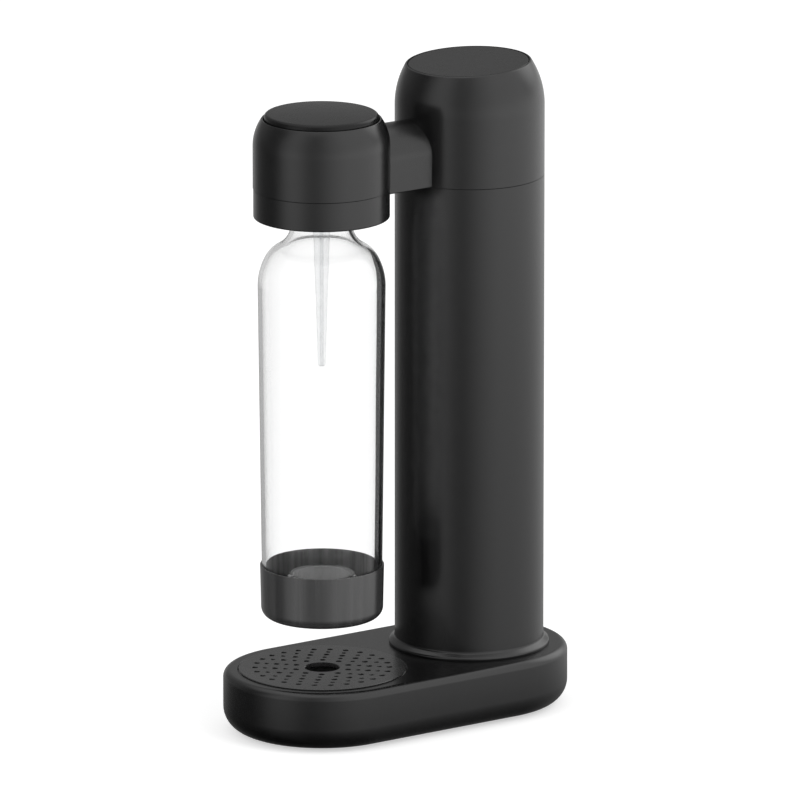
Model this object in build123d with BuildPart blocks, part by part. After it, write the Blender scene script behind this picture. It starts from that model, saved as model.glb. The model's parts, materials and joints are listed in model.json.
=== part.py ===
from build123d import *
import math
import os

os.makedirs("parts", exist_ok=True)

# Slim manual soda carbonator, in millimetres
# +Z is up, the bottle stands towards -Y and the gas column towards +Y
# The origin is on the table, under the middle of the base

# Fits
SLIP = 0.05
FACE_GAP = 0.1

# Base
BASE_WIDTH = 127.0
AXIS_SPAN = 115.5
BASE_TOP = 40.0
BASE_WALL = 3.0
BASE_BOTTOM_ROUND = 15.0
BASE_TOP_ROUND = 5.0
CAVITY_ROUND = 9.0
FOOT_REACH = 1.0
LEDGE_TOP = 7.0
PLATE_TOP = 3.5
OPENING_HALF = 40.0
PLATE_HALF = 46.0
BOTTLE_Y = -AXIS_SPAN / 2
COLUMN_Y = AXIS_SPAN / 2

# Foot strips
STRIP_INNER = 38.4
STRIP_OUTER = 43.4
STRIP_SPAN = 140.0
STRIP_GROOVE = 1.0
STRIP_SLACK = 1.0

# Drip tray
GRILLE_RADIUS = 53.6
GRILLE_BASE = 38.4
GRILLE_TOP = 40.8
GRILLE_BEVEL = 0.7
DRAIN_RADIUS = 11.0
HOLE_RADII = (1.5, 1.15)
RING_FIRST = 17.5
RING_STEP = 6.4
RING_COUNT = 5
HOLES_FIRST = 10
HOLES_STEP = 4
RECESS_RADIUS = 54.2
RECESS_FLOOR = 37.4
POCKET_RADIUS = 52.0
POCKET_FLOOR = 25.0
POCKET_WALL = 2.5
TRAY_RADIUS = 51.4
TRAY_WALL = 1.8
TRAY_ROUND = 3.5

# Column
COLUMN_RADIUS = 48.0
COLUMN_WALL = 2.5
COLUMN_INNER = COLUMN_RADIUS - COLUMN_WALL
SEAM_HEIGHT = 350.4
SEAM_BEVEL = 0.35
SPIGOT_WALL = 6.0
SPIGOT_HEIGHT = 16.0
SPIGOT_SCREW_LENGTH = 11.0
CYLINDER_WAY = 36.0
BEAD_RADIUS = 52.5
BEAD_HEIGHT = 4.5
BEAD_ROUND = 3.2

# Column head
SHOULDER_BASE = 395.6
SHOULDER_ARC = 54.0
SHOULDER_SWEEP = 40.0
HOUSING_WALL = 3.0
HOUSING_CEILING = 416.0
CROWN_HEIGHT = 423.6
CROWN_TILT = 2.63
CAP_RADIUS = 38.7
CAP_GAP = 0.45
CAP_THICKNESS = 3.0
CAP_SKIRT_RADIUS = 35.4
CAP_SKIRT_DEPTH = 5.0
CAP_EDGE = 0.7

# Arm
ARM_HALF = 20.0
ARM_WALL = 2.5
ARM_SPRING_LINE = 371.5
ARM_INSET = 10.0

# Bottle head
HEAD_RADIUS = 43.75
HEAD_WALL = 2.85
HEAD_SHOULDER = 384.0
HEAD_ARC = 30.7
HEAD_TOP = 401.6
LIP_BASE = 392.0
LIP_WALL_RADIUS = 40.0
RIM_ROUND = 0.4
COLLAR_RADIUS = 43.45
COLLAR_BASE = 337.6
COLLAR_TOP = 356.4
COLLAR_WALL = 3.0
COLLAR_HOLE = 22.6
COLLAR_ROUND = 1.0
SLOT_GAP = 0.3

# Button
BUTTON_RADIUS = 36.6
BUTTON_GAP = 0.5
BUTTON_TOP = 405.0
BUTTON_CROWN = 0.8
BUTTON_EDGE = 2.6
BUTTON_WALL = 2.6
BUTTON_UNDERSIDE = 401.0
FLANGE_RADIUS = 39.4
FLANGE_HEIGHT = 2.0
STEM_RADIUS = 4.95
STEM_TIP_ROUND = 4.0
GUIDE_RADIUS = 32.0
GUIDE_BASE = 382.0
GUIDE_TOP = 385.0
GUIDE_POST_RADIUS = 3.0
GUIDE_POST_SPREAD = 28.0
GUIDE_HOLE_SPREAD = 19.5
GUIDE_HOLE_RADIUS = 6.4

# Chassis and lever
CHASSIS_BASE = 353.0
CHASSIS_TOP = 356.0
CHASSIS_REAR_RADIUS = 44.6
CHASSIS_FRONT_RADIUS = 40.1
CHASSIS_HALF = 15.0
TOP_RING_BASE = 340.0
TOP_RING_WALL = 7.0
LEVER_BASE = 375.2
LEVER_TOP = 381.2
LEVER_HALF = 5.0
LEVER_END = 6.0
LEVER_ROUND = 1.5
PIVOT_ARM = 25.0
PIVOT_Y = COLUMN_Y + PIVOT_ARM
PIVOT_Z = (LEVER_BASE + LEVER_TOP) / 2
PIVOT_RADIUS = 2.5
PIVOT_EYE = 5.5
EAR_GAP = 0.6
EAR_THICKNESS = 3.0
CLIP_THICKNESS = 0.8
CLIP_RADIUS = 4.8

# Gas valve and pipe
GAS_HEIGHT = 364.0
BLOCK_RADIUS = 20.0
BLOCK_BASE = 322.0
BLOCK_BOSS = 12.0
BOSS_TOP = 368.2
BLOCK_BEVEL = 1.5
THREAD_BORE_TOP = 340.9
PIN_RADIUS = 2.0
PIN_BASE = 341.8
PIN_HEAD_RADIUS = 4.5
PIN_HEAD_BASE = 372.6
PIN_HEAD_ROUND = 2.0
PIN_SEAT = 360.5
PIN_SEAT_RADIUS = 5.2
PIPE_RADIUS = 2.5
PIPE_BORE = 1.6
PIPE_DEPTH = 4.0
NUT_HALF = 4.5
NUT_LENGTH = 6.0
HOLDER_BOSS = 9.0

# Gas cylinder
CYLINDER_RADIUS = 29.9
CYLINDER_BASE = 12.0
CYLINDER_WALL = 3.0
CYLINDER_SHOULDER = 265.0
CYLINDER_ARC = 40.0
CYLINDER_ROUND = 8.0
NECK_RADIUS = 13.5
NECK_BORE = 8.0
NECK_TOP = 310.0
VALVE_HEX_HALF = 12.0
VALVE_HEX_TOP = 321.0
VALVE_THREAD_RADIUS = 10.5
VALVE_TOP = 339.0
VALVE_TIP_RADIUS = 1.6
VALVE_TIP = 340.6
WASHER_BORE = 3.0
WASHER_RADIUS = 10.0
WASHER_THICKNESS = 1.8
GUIDE_RING_HEIGHTS = (110.0, 250.0)
GUIDE_RING_THICKNESS = 8.0
GUIDE_WINDOW_RADIUS = 4.5
GUIDE_WINDOW_SPREAD = 37.7
GUIDE_WINDOW_COUNT = 8

# Hatch
HATCH_HOLE = 34.0
HATCH_RADIUS = 33.5
HATCH_BASE = 1.3
HATCH_TOP = 6.0
TAB_RADIUS = 36.8
TAB_BASE = 3.8
TAB_SPAN = 24.0
TAB_CLEARANCE = 4.0
TAB_ROOT = 1.0
NOTCH_GAP = 0.4
HATCH_TURN = 40.0
TAB_ANGLES = (90.0, 210.0, 330.0)
GRIP_INNER = 8.0
GRIP_OUTER = 26.0
GRIP_SPAN = 120.0
GRIP_DEPTH = 2.8
PAD_RADIUS = 24.0
PAD_GAP = 0.3

# Nozzle and seal
HOLDER_RADIUS = 11.5
HOLDER_BASE = 333.0
HOLDER_FLANGE_RADIUS = 23.5
HOLDER_FLANGE_TOP = 359.0
HOLDER_EAR_RADIUS = 4.5
NOZZLE_SPIGOT_RADIUS = 4.6
NOZZLE_SPIGOT_TOP = 345.0
NOZZLE_RADIUS = 5.35
NOZZLE_SHOULDER = 330.0
NOZZLE_MID_RADIUS = 3.75
NOZZLE_MID = 285.0
NOZZLE_TIP_RADIUS = 2.4
NOZZLE_TIP = 240.0
NOZZLE_BORE = 1.0
O_RING_WIRE = 1.0
O_RING_HEIGHT = 339.0
SOCKET_BORE = 22.3
SOCKET_RADIUS = 29.0
SOCKET_BASE = 341.0
SEAL_WAY = 21.2
SEAL_BASE = 346.0
CARRIER_BASE = 348.5
CARRIER_TOP = 351.0
SEAL_RADIUS = 20.0
SEAL_BORE = 12.5

# Relief valve
RELIEF_RADIUS = 4.5
RELIEF_BORE = 3.3
RELIEF_LENGTH = 16.0
RELIEF_SEAT = 3.0
RELIEF_PORT = 1.2
POPPET_RADIUS = 3.2
POPPET_LENGTH = 3.0
POPPET_STEM = 1.1
POPPET_REACH = 19.5
RELIEF_PLUG = 2.0
RELIEF_CAP_LENGTH = 2.0

# Bottle
BOTTLE_MOUTH = 345.9
BOTTLE_NECK = 19.6
BOTTLE_NECK_WALL = 2.4
BOTTLE_WALL = 2.0
BOTTLE_RADIUS = 40.75
BOTTLE_FOOT_RADIUS = 38.3
BOTTLE_SHOULDER = 292.5
SHOULDER_LOWER_ARC = 39.1
SHOULDER_LOWER_SWEEP = 27.9
SHOULDER_UPPER_ARC = 20.0
NECK_FLARE = 11.0
NECK_JOINT = 332.0
NECK_LAP = 3.0
NECK_LAP_RADIUS = 18.4
BOTTLE_BASE = 78.8
BOTTLE_FLOOR = 3.0
BOTTLE_ROUND = 6.0
THREAD_RADIUS = 21.7
THREAD_BASE = 341.6
THREAD_HEIGHT = 3.0
THREAD_SPAN = 70.0
THREAD_ROOT = 1.0
THREAD_ANGLES = (30.0, 150.0, 270.0)
CUP_BASE = 75.0
CUP_TOP = 109.5
CUP_TOP_RADIUS = 39.7
CUP_FOOT_RADIUS = 39.1
CUP_ROUND = 7.0
CUP_INNER = 38.8

# Screws
M3_RADIUS = 1.5
M3_HEAD = 2.75
M3_HEAD_HEIGHT = 1.3
M3_HEAD_ROUND = 0.5
M3_SLOT_WIDTH = 0.7
M3_SLOT_DEPTH = 0.65
BASE_SCREW_SPOTS = [(x, y) for x in (-43.0, 43.0) for y in (-40.0, 0.0, 40.0)]
CHASSIS_SCREW_SPREAD = 41.7
BLOCK_SCREW_SPREAD = 16.2
SOCKET_SCREW_SPREAD = 25.7
COLLAR_SCREW_SPREAD = 35.0
COLLAR_SCREW_ANGLES = (30.0, 150.0, 270.0)
COLLAR_BOSS = 4.0
CHASSIS_SCREW_LENGTH = 10.0
BLOCK_SCREW_LENGTH = 9.0
SOCKET_SCREW_LENGTH = 14.0

# Springs
BUTTON_COIL = 9.5
BUTTON_WIRE = 0.7
BUTTON_TURNS = 5.0
PIN_COIL = 3.6
PIN_WIRE = 0.4
PIN_TURNS = 5.0
SEAL_COIL = 15.5
SEAL_WIRE = 0.45
SEAL_TURNS = 2.5
RELIEF_COIL = 2.2
RELIEF_WIRE = 0.3
RELIEF_TURNS = 6.0

COLUMN_AXIS = Axis((0, COLUMN_Y, 0), (0, 0, 1))
BOTTLE_AXIS = Axis((0, BOTTLE_Y, 0), (0, 0, 1))
COLUMN_SECTION = Plane(origin=(0, COLUMN_Y, 0), x_dir=(1, 0, 0), z_dir=(0, -1, 0))
BOTTLE_SECTION = Plane(origin=(0, BOTTLE_Y, 0), x_dir=(1, 0, 0), z_dir=(0, -1, 0))


def column_level(height):
    """Level plane centred on the column's axis."""
    return Plane((0, COLUMN_Y, height))


def bottle_level(height):
    """Level plane centred on the bottle's axis."""
    return Plane((0, BOTTLE_Y, height))


def relief_level(reach):
    """Upright plane on the relief valve's axis, facing away from the nozzle holder."""
    return Plane((0, BOTTLE_Y - HOLDER_BOSS - reach, GAS_HEIGHT), x_dir=(1, 0, 0), z_dir=(0, -1, 0))


def ring_sector(inner, outer, middle, span):
    """Flat piece of a ring about the origin, with its middle at an angle."""
    with BuildSketch() as sector:
        with BuildLine():
            outside = CenterArc((0, 0), outer, middle - span / 2, span)
            inside = CenterArc((0, 0), inner, middle - span / 2, span)
            Line(outside @ 0, inside @ 0)
            Line(outside @ 1, inside @ 1)
        make_face()
    return sector.sketch


def arch(half, foot, spring_line):
    """Arched section: flat foot, straight sides and a half-round top."""
    with BuildSketch() as section:
        with BuildLine():
            Line((half, foot), (-half, foot))
            Line((-half, foot), (-half, spring_line))
            CenterArc((0, spring_line), half, 0, 180)
            Line((half, spring_line), (half, foot))
        make_face()
    return section.sketch


def pan_screw(shank_length):
    """Pan-head screw: its head stands on the origin and its shank goes down."""
    with BuildPart() as screw:
        with BuildSketch():
            Circle(M3_HEAD)
        extrude(amount=M3_HEAD_HEIGHT)
        fillet(screw.faces().sort_by(Axis.Z)[-1].edges(), M3_HEAD_ROUND)
        with BuildSketch():
            Circle(M3_RADIUS)
        extrude(amount=-shank_length)
        with BuildSketch(Plane.XY.offset(M3_HEAD_HEIGHT)):
            Rectangle(M3_HEAD, M3_SLOT_WIDTH)
            Rectangle(M3_SLOT_WIDTH, M3_HEAD)
        extrude(amount=-M3_SLOT_DEPTH, mode=Mode.SUBTRACT)
    return screw.part


def coil_line(plane, radius, length, turns):
    """Wire line of a coil spring along a plane's normal, as a biarc for each quarter turn."""
    count = round(turns * 4)
    climb = length / count
    points = []
    tangents = []
    for step in range(count + 1):
        angle = math.pi / 2 * step
        local_point = Vector(radius * math.cos(angle), radius * math.sin(angle), climb * step)
        local_tangent = Vector(-radius * math.sin(angle), radius * math.cos(angle), climb * 2 / math.pi)
        points.append(plane.from_local_coords(local_point))
        tangents.append((plane.from_local_coords(local_tangent) - plane.origin).normalized())
    with BuildLine() as wire:
        for start, end, leave, arrive in zip(points, points[1:], tangents, tangents[1:]):
            chord = end - start
            along = chord.dot(leave + arrive)
            bend = 2 * (1 - leave.dot(arrive))
            reach = (math.sqrt(along**2 + bend * chord.dot(chord)) - along) / bend
            first_corner = start + leave * reach
            second_corner = end - arrive * reach
            joint = (first_corner + second_corner) * 0.5
            TangentArc(start, joint, tangent=leave)
            TangentArc(joint, end, tangent=second_corner - first_corner)
    return wire.line


def print_coil_gap(label, length, turns, wire_radius):
    """Print the free gap between neighbouring turns of a coil spring."""
    gap = length / turns - 2 * wire_radius
    print(f"{label}: gap between turns {gap:.2f} mm")


# Base shell: one moulding, hollow below, with the tray pocket and the way for the gas cylinder
spigot_spread = COLUMN_INNER - SPIGOT_WALL / 2

with BuildPart() as base_cavity:
    with BuildSketch(Plane.XY.offset(LEDGE_TOP)):
        SlotCenterToCenter(AXIS_SPAN, BASE_WIDTH - 2 * BASE_WALL, rotation=90)
    extrude(amount=BASE_TOP - BASE_WALL - LEDGE_TOP)
    fillet(base_cavity.faces().sort_by(Axis.Z)[0].edges(), CAVITY_ROUND)
    with BuildSketch(bottle_level(POCKET_FLOOR - POCKET_WALL)):
        Circle(RECESS_RADIUS + POCKET_WALL)
    extrude(amount=BASE_TOP, mode=Mode.SUBTRACT)

with BuildPart() as base_shell:
    with BuildSketch(Plane.XY.offset(FOOT_REACH)):
        SlotCenterToCenter(AXIS_SPAN, BASE_WIDTH, rotation=90)
    extrude(amount=BASE_TOP - FOOT_REACH)
    fillet(base_shell.faces().sort_by(Axis.Z)[0].edges(), BASE_BOTTOM_ROUND)
    fillet(base_shell.faces().sort_by(Axis.Z)[-1].edges(), BASE_TOP_ROUND)
    add(base_cavity.part, mode=Mode.SUBTRACT)
    with BuildSketch(Plane.XY.offset(FOOT_REACH)):
        SlotCenterToCenter(AXIS_SPAN, 2 * OPENING_HALF, rotation=90)
    extrude(amount=LEDGE_TOP - FOOT_REACH, mode=Mode.SUBTRACT)
    with BuildSketch(Plane.XY.offset(FOOT_REACH)):
        SlotCenterToCenter(AXIS_SPAN, 2 * (PLATE_HALF + FACE_GAP), rotation=90)
    extrude(amount=PLATE_TOP - FOOT_REACH, mode=Mode.SUBTRACT)
    with BuildSketch(bottle_level(POCKET_FLOOR)):
        Circle(POCKET_RADIUS)
    extrude(amount=BASE_TOP - POCKET_FLOOR, mode=Mode.SUBTRACT)
    with BuildSketch(bottle_level(RECESS_FLOOR)):
        Circle(RECESS_RADIUS)
    extrude(amount=BASE_TOP - RECESS_FLOOR, mode=Mode.SUBTRACT)
    with BuildSketch(column_level(BASE_TOP - BASE_WALL)):
        Circle(CYLINDER_WAY)
        with PolarLocations(spigot_spread, 4, start_angle=45):
            Circle(M3_RADIUS + SLIP)
    extrude(amount=BASE_WALL, mode=Mode.SUBTRACT)
    with BuildSketch(Plane.XY.offset(PLATE_TOP)):
        with Locations(*BASE_SCREW_SPOTS):
            Circle(M3_RADIUS + SLIP)
    extrude(amount=LEDGE_TOP - PLATE_TOP, mode=Mode.SUBTRACT)

# Bottom plate: closes the base, carries the foot strips and the hatch
with BuildPart() as base_bottom_plate:
    with BuildSketch(Plane.XY.offset(FOOT_REACH)):
        SlotCenterToCenter(AXIS_SPAN, 2 * PLATE_HALF, rotation=90)
        with Locations((0, COLUMN_Y)):
            Circle(HATCH_HOLE, mode=Mode.SUBTRACT)
            notch_span = TAB_SPAN + TAB_CLEARANCE
            for angle in TAB_ANGLES:
                notch_angle = angle + HATCH_TURN
                notch = ring_sector(HATCH_RADIUS, TAB_RADIUS + NOTCH_GAP, notch_angle, notch_span)
                add(notch, mode=Mode.SUBTRACT)
        with Locations(*BASE_SCREW_SPOTS):
            Circle(M3_RADIUS + SLIP, mode=Mode.SUBTRACT)
    extrude(amount=PLATE_TOP - FOOT_REACH)
    with BuildSketch(Plane.XY.offset(FOOT_REACH)):
        with Locations((0, BOTTLE_Y)):
            add(ring_sector(STRIP_INNER - SLIP, STRIP_OUTER + SLIP, 270, STRIP_SPAN + STRIP_SLACK))
        with Locations((0, COLUMN_Y)):
            add(ring_sector(STRIP_INNER - SLIP, STRIP_OUTER + SLIP, 90, STRIP_SPAN + STRIP_SLACK))
    extrude(amount=STRIP_GROOVE, mode=Mode.SUBTRACT)
    with BuildSketch(Plane.XY.offset(FOOT_REACH)):
        with Locations(*BASE_SCREW_SPOTS):
            Circle(M3_HEAD + FACE_GAP)
    extrude(amount=M3_HEAD_HEIGHT + FACE_GAP, mode=Mode.SUBTRACT)

with BuildPart() as base_screws:
    for x, y in BASE_SCREW_SPOTS:
        with Locations(Location((x, y, FOOT_REACH + M3_HEAD_HEIGHT + FACE_GAP), (180, 0, 0))):
            add(pan_screw(LEDGE_TOP - FOOT_REACH - M3_HEAD_HEIGHT - FACE_GAP))

with BuildPart() as front_foot_strip:
    with BuildSketch(bottle_level(0)):
        add(ring_sector(STRIP_INNER, STRIP_OUTER, 270, STRIP_SPAN))
    extrude(amount=FOOT_REACH + STRIP_GROOVE)

with BuildPart() as rear_foot_strip:
    with BuildSketch(column_level(0)):
        add(ring_sector(STRIP_INNER, STRIP_OUTER, 90, STRIP_SPAN))
    extrude(amount=FOOT_REACH + STRIP_GROOVE)

# Hatch: bayonet lid under the column, with two finger pockets and a grip bar between them
with BuildPart() as cylinder_hatch:
    with BuildSketch(column_level(HATCH_BASE)):
        Circle(HATCH_RADIUS)
    extrude(amount=HATCH_TOP - HATCH_BASE)
    with BuildSketch(column_level(TAB_BASE)):
        for angle in TAB_ANGLES:
            add(ring_sector(HATCH_RADIUS - TAB_ROOT, TAB_RADIUS, angle, TAB_SPAN))
    extrude(amount=HATCH_TOP - TAB_BASE)
    with BuildSketch(column_level(HATCH_BASE)):
        for angle in (0, 180):
            add(ring_sector(GRIP_INNER, GRIP_OUTER, angle, GRIP_SPAN))
    extrude(amount=GRIP_DEPTH, mode=Mode.SUBTRACT)

with BuildPart() as hatch_pad:
    with BuildSketch(column_level(HATCH_TOP)):
        Circle(PAD_RADIUS)
    extrude(amount=CYLINDER_BASE - HATCH_TOP - PAD_GAP)

# Drip tray: a shallow bowl with a perforated plate on it
with BuildPart() as drip_tray_cup:
    with BuildSketch(bottle_level(POCKET_FLOOR + SLIP)):
        Circle(TRAY_RADIUS)
    extrude(amount=GRILLE_BASE - POCKET_FLOOR - SLIP)
    fillet(drip_tray_cup.faces().sort_by(Axis.Z)[0].edges(), TRAY_ROUND)
    with BuildSketch(bottle_level(RECESS_FLOOR + SLIP)):
        Circle(GRILLE_RADIUS)
    extrude(amount=GRILLE_BASE - RECESS_FLOOR - SLIP)
    with BuildSketch(bottle_level(POCKET_FLOOR + TRAY_WALL)):
        Circle(TRAY_RADIUS - TRAY_WALL)
    extrude(amount=GRILLE_BASE, mode=Mode.SUBTRACT)

with BuildPart() as drip_tray_grille:
    with BuildSketch(bottle_level(GRILLE_BASE)):
        Circle(GRILLE_RADIUS)
    extrude(amount=GRILLE_TOP - GRILLE_BASE)
    chamfer(drip_tray_grille.faces().sort_by(Axis.Z)[-1].edges(), GRILLE_BEVEL)
    with BuildSketch(bottle_level(GRILLE_BASE)):
        Circle(DRAIN_RADIUS)
        for ring in range(RING_COUNT):
            holes = HOLES_FIRST + HOLES_STEP * ring
            stagger = 180 / holes * (ring % 2)
            with PolarLocations(RING_FIRST + RING_STEP * ring, holes, start_angle=stagger):
                Circle(HOLE_RADII[ring % 2])
    extrude(amount=GRILLE_TOP - GRILLE_BASE, mode=Mode.SUBTRACT)

# Column: bead, tube and the rings inside it
with BuildPart() as column_foot_ring:
    with BuildSketch(column_level(BASE_TOP)):
        Circle(BEAD_RADIUS)
        Circle(COLUMN_RADIUS + SLIP, mode=Mode.SUBTRACT)
    extrude(amount=BEAD_HEIGHT)
    fillet(column_foot_ring.faces().sort_by(Axis.Z)[-1].edges().sort_by(SortBy.LENGTH)[-1], BEAD_ROUND)

with BuildPart() as column_spigot:
    with BuildSketch(column_level(BASE_TOP)):
        Circle(COLUMN_INNER - SLIP)
        Circle(COLUMN_INNER - SPIGOT_WALL, mode=Mode.SUBTRACT)
        with PolarLocations(spigot_spread, 4, start_angle=45):
            Circle(M3_RADIUS + SLIP, mode=Mode.SUBTRACT)
    extrude(amount=SPIGOT_HEIGHT)

with BuildPart() as spigot_screws:
    for angle in (45, 135, 225, 315):
        x = spigot_spread * math.cos(math.radians(angle))
        y = COLUMN_Y + spigot_spread * math.sin(math.radians(angle))
        with Locations(Location((x, y, BASE_TOP - BASE_WALL), (180, 0, 0))):
            add(pan_screw(SPIGOT_SCREW_LENGTH))

with BuildPart() as column_tube:
    with BuildSketch(column_level(BASE_TOP)):
        Circle(COLUMN_RADIUS)
        Circle(COLUMN_INNER, mode=Mode.SUBTRACT)
    extrude(amount=SEAM_HEIGHT - BASE_TOP)
    chamfer(column_tube.faces().sort_by(Axis.Z)[-1].edges().sort_by(SortBy.LENGTH)[-1], SEAM_BEVEL)

guide_rings = []
for height in GUIDE_RING_HEIGHTS:
    with BuildPart() as guide_ring:
        with BuildSketch(column_level(height)):
            Circle(COLUMN_INNER - SLIP)
            Circle(CYLINDER_RADIUS + SLIP, mode=Mode.SUBTRACT)
            with PolarLocations(GUIDE_WINDOW_SPREAD, GUIDE_WINDOW_COUNT):
                Circle(GUIDE_WINDOW_RADIUS, mode=Mode.SUBTRACT)
        extrude(amount=GUIDE_RING_THICKNESS)
    guide_rings.append(guide_ring)
lower_cylinder_guide, upper_cylinder_guide = guide_rings

with BuildPart() as column_top_ring:
    with BuildSketch(column_level(TOP_RING_BASE)):
        Circle(COLUMN_INNER - SLIP)
    extrude(amount=SEAM_HEIGHT - TOP_RING_BASE)
    with BuildSketch(column_level(SEAM_HEIGHT)):
        Circle(CHASSIS_REAR_RADIUS)
    extrude(amount=CHASSIS_BASE - SEAM_HEIGHT)
    with BuildSketch(column_level(TOP_RING_BASE)):
        Circle(COLUMN_INNER - TOP_RING_WALL)
        with PolarLocations(CHASSIS_SCREW_SPREAD, 4, start_angle=45):
            Circle(M3_RADIUS + SLIP)
    extrude(amount=CHASSIS_BASE - TOP_RING_BASE, mode=Mode.SUBTRACT)


def cylinder_profile(inset, neck, base, round_radius):
    """Half section of the gas cylinder, drawn in from its outer skin by an inset."""
    arc_radius = CYLINDER_ARC - inset
    arc_centre = CYLINDER_RADIUS - CYLINDER_ARC
    sweep_angle = math.degrees(math.acos((neck - arc_centre) / arc_radius))
    side = CYLINDER_RADIUS - inset
    with BuildSketch() as section:
        with BuildLine():
            Line((0, base), (side - round_radius, base))
            CenterArc((side - round_radius, base + round_radius), round_radius, -90, 90)
            Line((side, base + round_radius), (side, CYLINDER_SHOULDER))
            shoulder = CenterArc((arc_centre, CYLINDER_SHOULDER), arc_radius, 0, sweep_angle)
            Polyline(shoulder @ 1, (neck, NECK_TOP), (0, NECK_TOP), (0, base))
        make_face()
    return section.sketch


with BuildPart() as gas_cylinder:
    with BuildSketch(COLUMN_SECTION):
        add(cylinder_profile(0, NECK_RADIUS, CYLINDER_BASE, CYLINDER_ROUND))
    revolve(axis=COLUMN_AXIS)
    with BuildSketch(COLUMN_SECTION):
        inner_round = CYLINDER_ROUND - CYLINDER_WALL
        add(cylinder_profile(CYLINDER_WALL, NECK_BORE, CYLINDER_BASE + CYLINDER_WALL, inner_round))
    revolve(axis=COLUMN_AXIS, mode=Mode.SUBTRACT)

with BuildPart() as cylinder_valve:
    with BuildSketch(column_level(NECK_TOP)):
        Circle(NECK_BORE - SLIP)
    extrude(amount=-NECK_BORE)
    with BuildSketch(column_level(NECK_TOP)):
        RegularPolygon(VALVE_HEX_HALF, 6, major_radius=False)
    extrude(amount=VALVE_HEX_TOP - NECK_TOP)
    with BuildSketch(column_level(VALVE_HEX_TOP)):
        Circle(VALVE_THREAD_RADIUS)
    extrude(amount=VALVE_TOP - VALVE_HEX_TOP)
    with BuildSketch(column_level(VALVE_TOP)):
        Circle(VALVE_TIP_RADIUS)
    extrude(amount=VALVE_TIP - VALVE_TOP)

with BuildPart() as cylinder_washer:
    with BuildSketch(column_level(VALVE_TOP)):
        Circle(WASHER_RADIUS)
        Circle(WASHER_BORE, mode=Mode.SUBTRACT)
    extrude(amount=WASHER_THICKNESS)

# Column head: casing with a slightly sloping crown, and its inset cap
crown_plane = Plane(
    origin=(0, COLUMN_Y, CROWN_HEIGHT),
    x_dir=(1, 0, 0),
    z_dir=(0, -math.sin(math.radians(CROWN_TILT)), math.cos(math.radians(CROWN_TILT))),
)
crown_rise = CAP_RADIUS * math.tan(math.radians(CROWN_TILT))


def shoulder_radius(height):
    """Outer radius of the column's shoulder at a height."""
    return COLUMN_RADIUS - SHOULDER_ARC + math.sqrt(SHOULDER_ARC**2 - (height - SHOULDER_BASE) ** 2)


rim_shift = (shoulder_radius(CROWN_HEIGHT + crown_rise) - shoulder_radius(CROWN_HEIGHT - crown_rise)) / 2
shoulder_centre = (COLUMN_RADIUS - SHOULDER_ARC, SHOULDER_BASE)
inner_arc = SHOULDER_ARC - HOUSING_WALL
inner_sweep = math.degrees(math.asin((HOUSING_CEILING - SHOULDER_BASE) / inner_arc))
arm_start = COLUMN_Y - COLUMN_RADIUS + ARM_INSET
arm_section = Plane(origin=(0, arm_start, 0), x_dir=(1, 0, 0), z_dir=(0, -1, 0))
arm_inner_half = ARM_HALF - ARM_WALL
arm_inner_foot = SEAM_HEIGHT + ARM_WALL

with BuildPart() as head_housing:
    with BuildSketch(COLUMN_SECTION):
        with BuildLine():
            Polyline((0, SEAM_HEIGHT), (COLUMN_RADIUS, SEAM_HEIGHT), (COLUMN_RADIUS, SHOULDER_BASE))
            skin = CenterArc(shoulder_centre, SHOULDER_ARC, 0, SHOULDER_SWEEP)
            Polyline(skin @ 1, (0, (skin @ 1).Y), (0, SEAM_HEIGHT))
        make_face()
    revolve(axis=COLUMN_AXIS)
    split(bisect_by=crown_plane, keep=Keep.BOTTOM)
    chamfer(head_housing.faces().sort_by(Axis.Z)[0].edges(), SEAM_BEVEL)
    fillet(head_housing.faces().sort_by(Axis.Z)[-1].edges(), CAP_EDGE)
    with BuildSketch(COLUMN_SECTION):
        with BuildLine():
            inner_side = COLUMN_RADIUS - HOUSING_WALL
            Polyline((0, SEAM_HEIGHT), (inner_side, SEAM_HEIGHT), (inner_side, SHOULDER_BASE))
            lining = CenterArc(shoulder_centre, inner_arc, 0, inner_sweep)
            Polyline(lining @ 1, (0, HOUSING_CEILING), (0, SEAM_HEIGHT))
        make_face()
    revolve(axis=COLUMN_AXIS, mode=Mode.SUBTRACT)
    with BuildSketch(crown_plane):
        with Locations((0, rim_shift)):
            Circle(CAP_RADIUS + CAP_GAP)
    extrude(amount=-CAP_THICKNESS, mode=Mode.SUBTRACT)
    with BuildSketch(crown_plane):
        with Locations((0, rim_shift)):
            Circle(CAP_SKIRT_RADIUS + CAP_GAP)
    extrude(amount=-COLUMN_RADIUS / 2, mode=Mode.SUBTRACT)
    with BuildSketch(arm_section):
        add(arch(arm_inner_half, arm_inner_foot, ARM_SPRING_LINE))
    extrude(amount=COLUMN_RADIUS, mode=Mode.SUBTRACT)

with BuildPart() as column_cap:
    with BuildSketch(crown_plane):
        with Locations((0, rim_shift)):
            Circle(CAP_RADIUS)
    extrude(amount=-CAP_THICKNESS)
    fillet(column_cap.faces().sort_by(Axis.Z)[-1].edges(), CAP_EDGE)
    with BuildSketch(crown_plane.offset(-CAP_THICKNESS)):
        with Locations((0, rim_shift)):
            Circle(CAP_SKIRT_RADIUS)
            Circle(CAP_SKIRT_RADIUS - BASE_WALL, mode=Mode.SUBTRACT)
    extrude(amount=-CAP_SKIRT_DEPTH)

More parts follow.
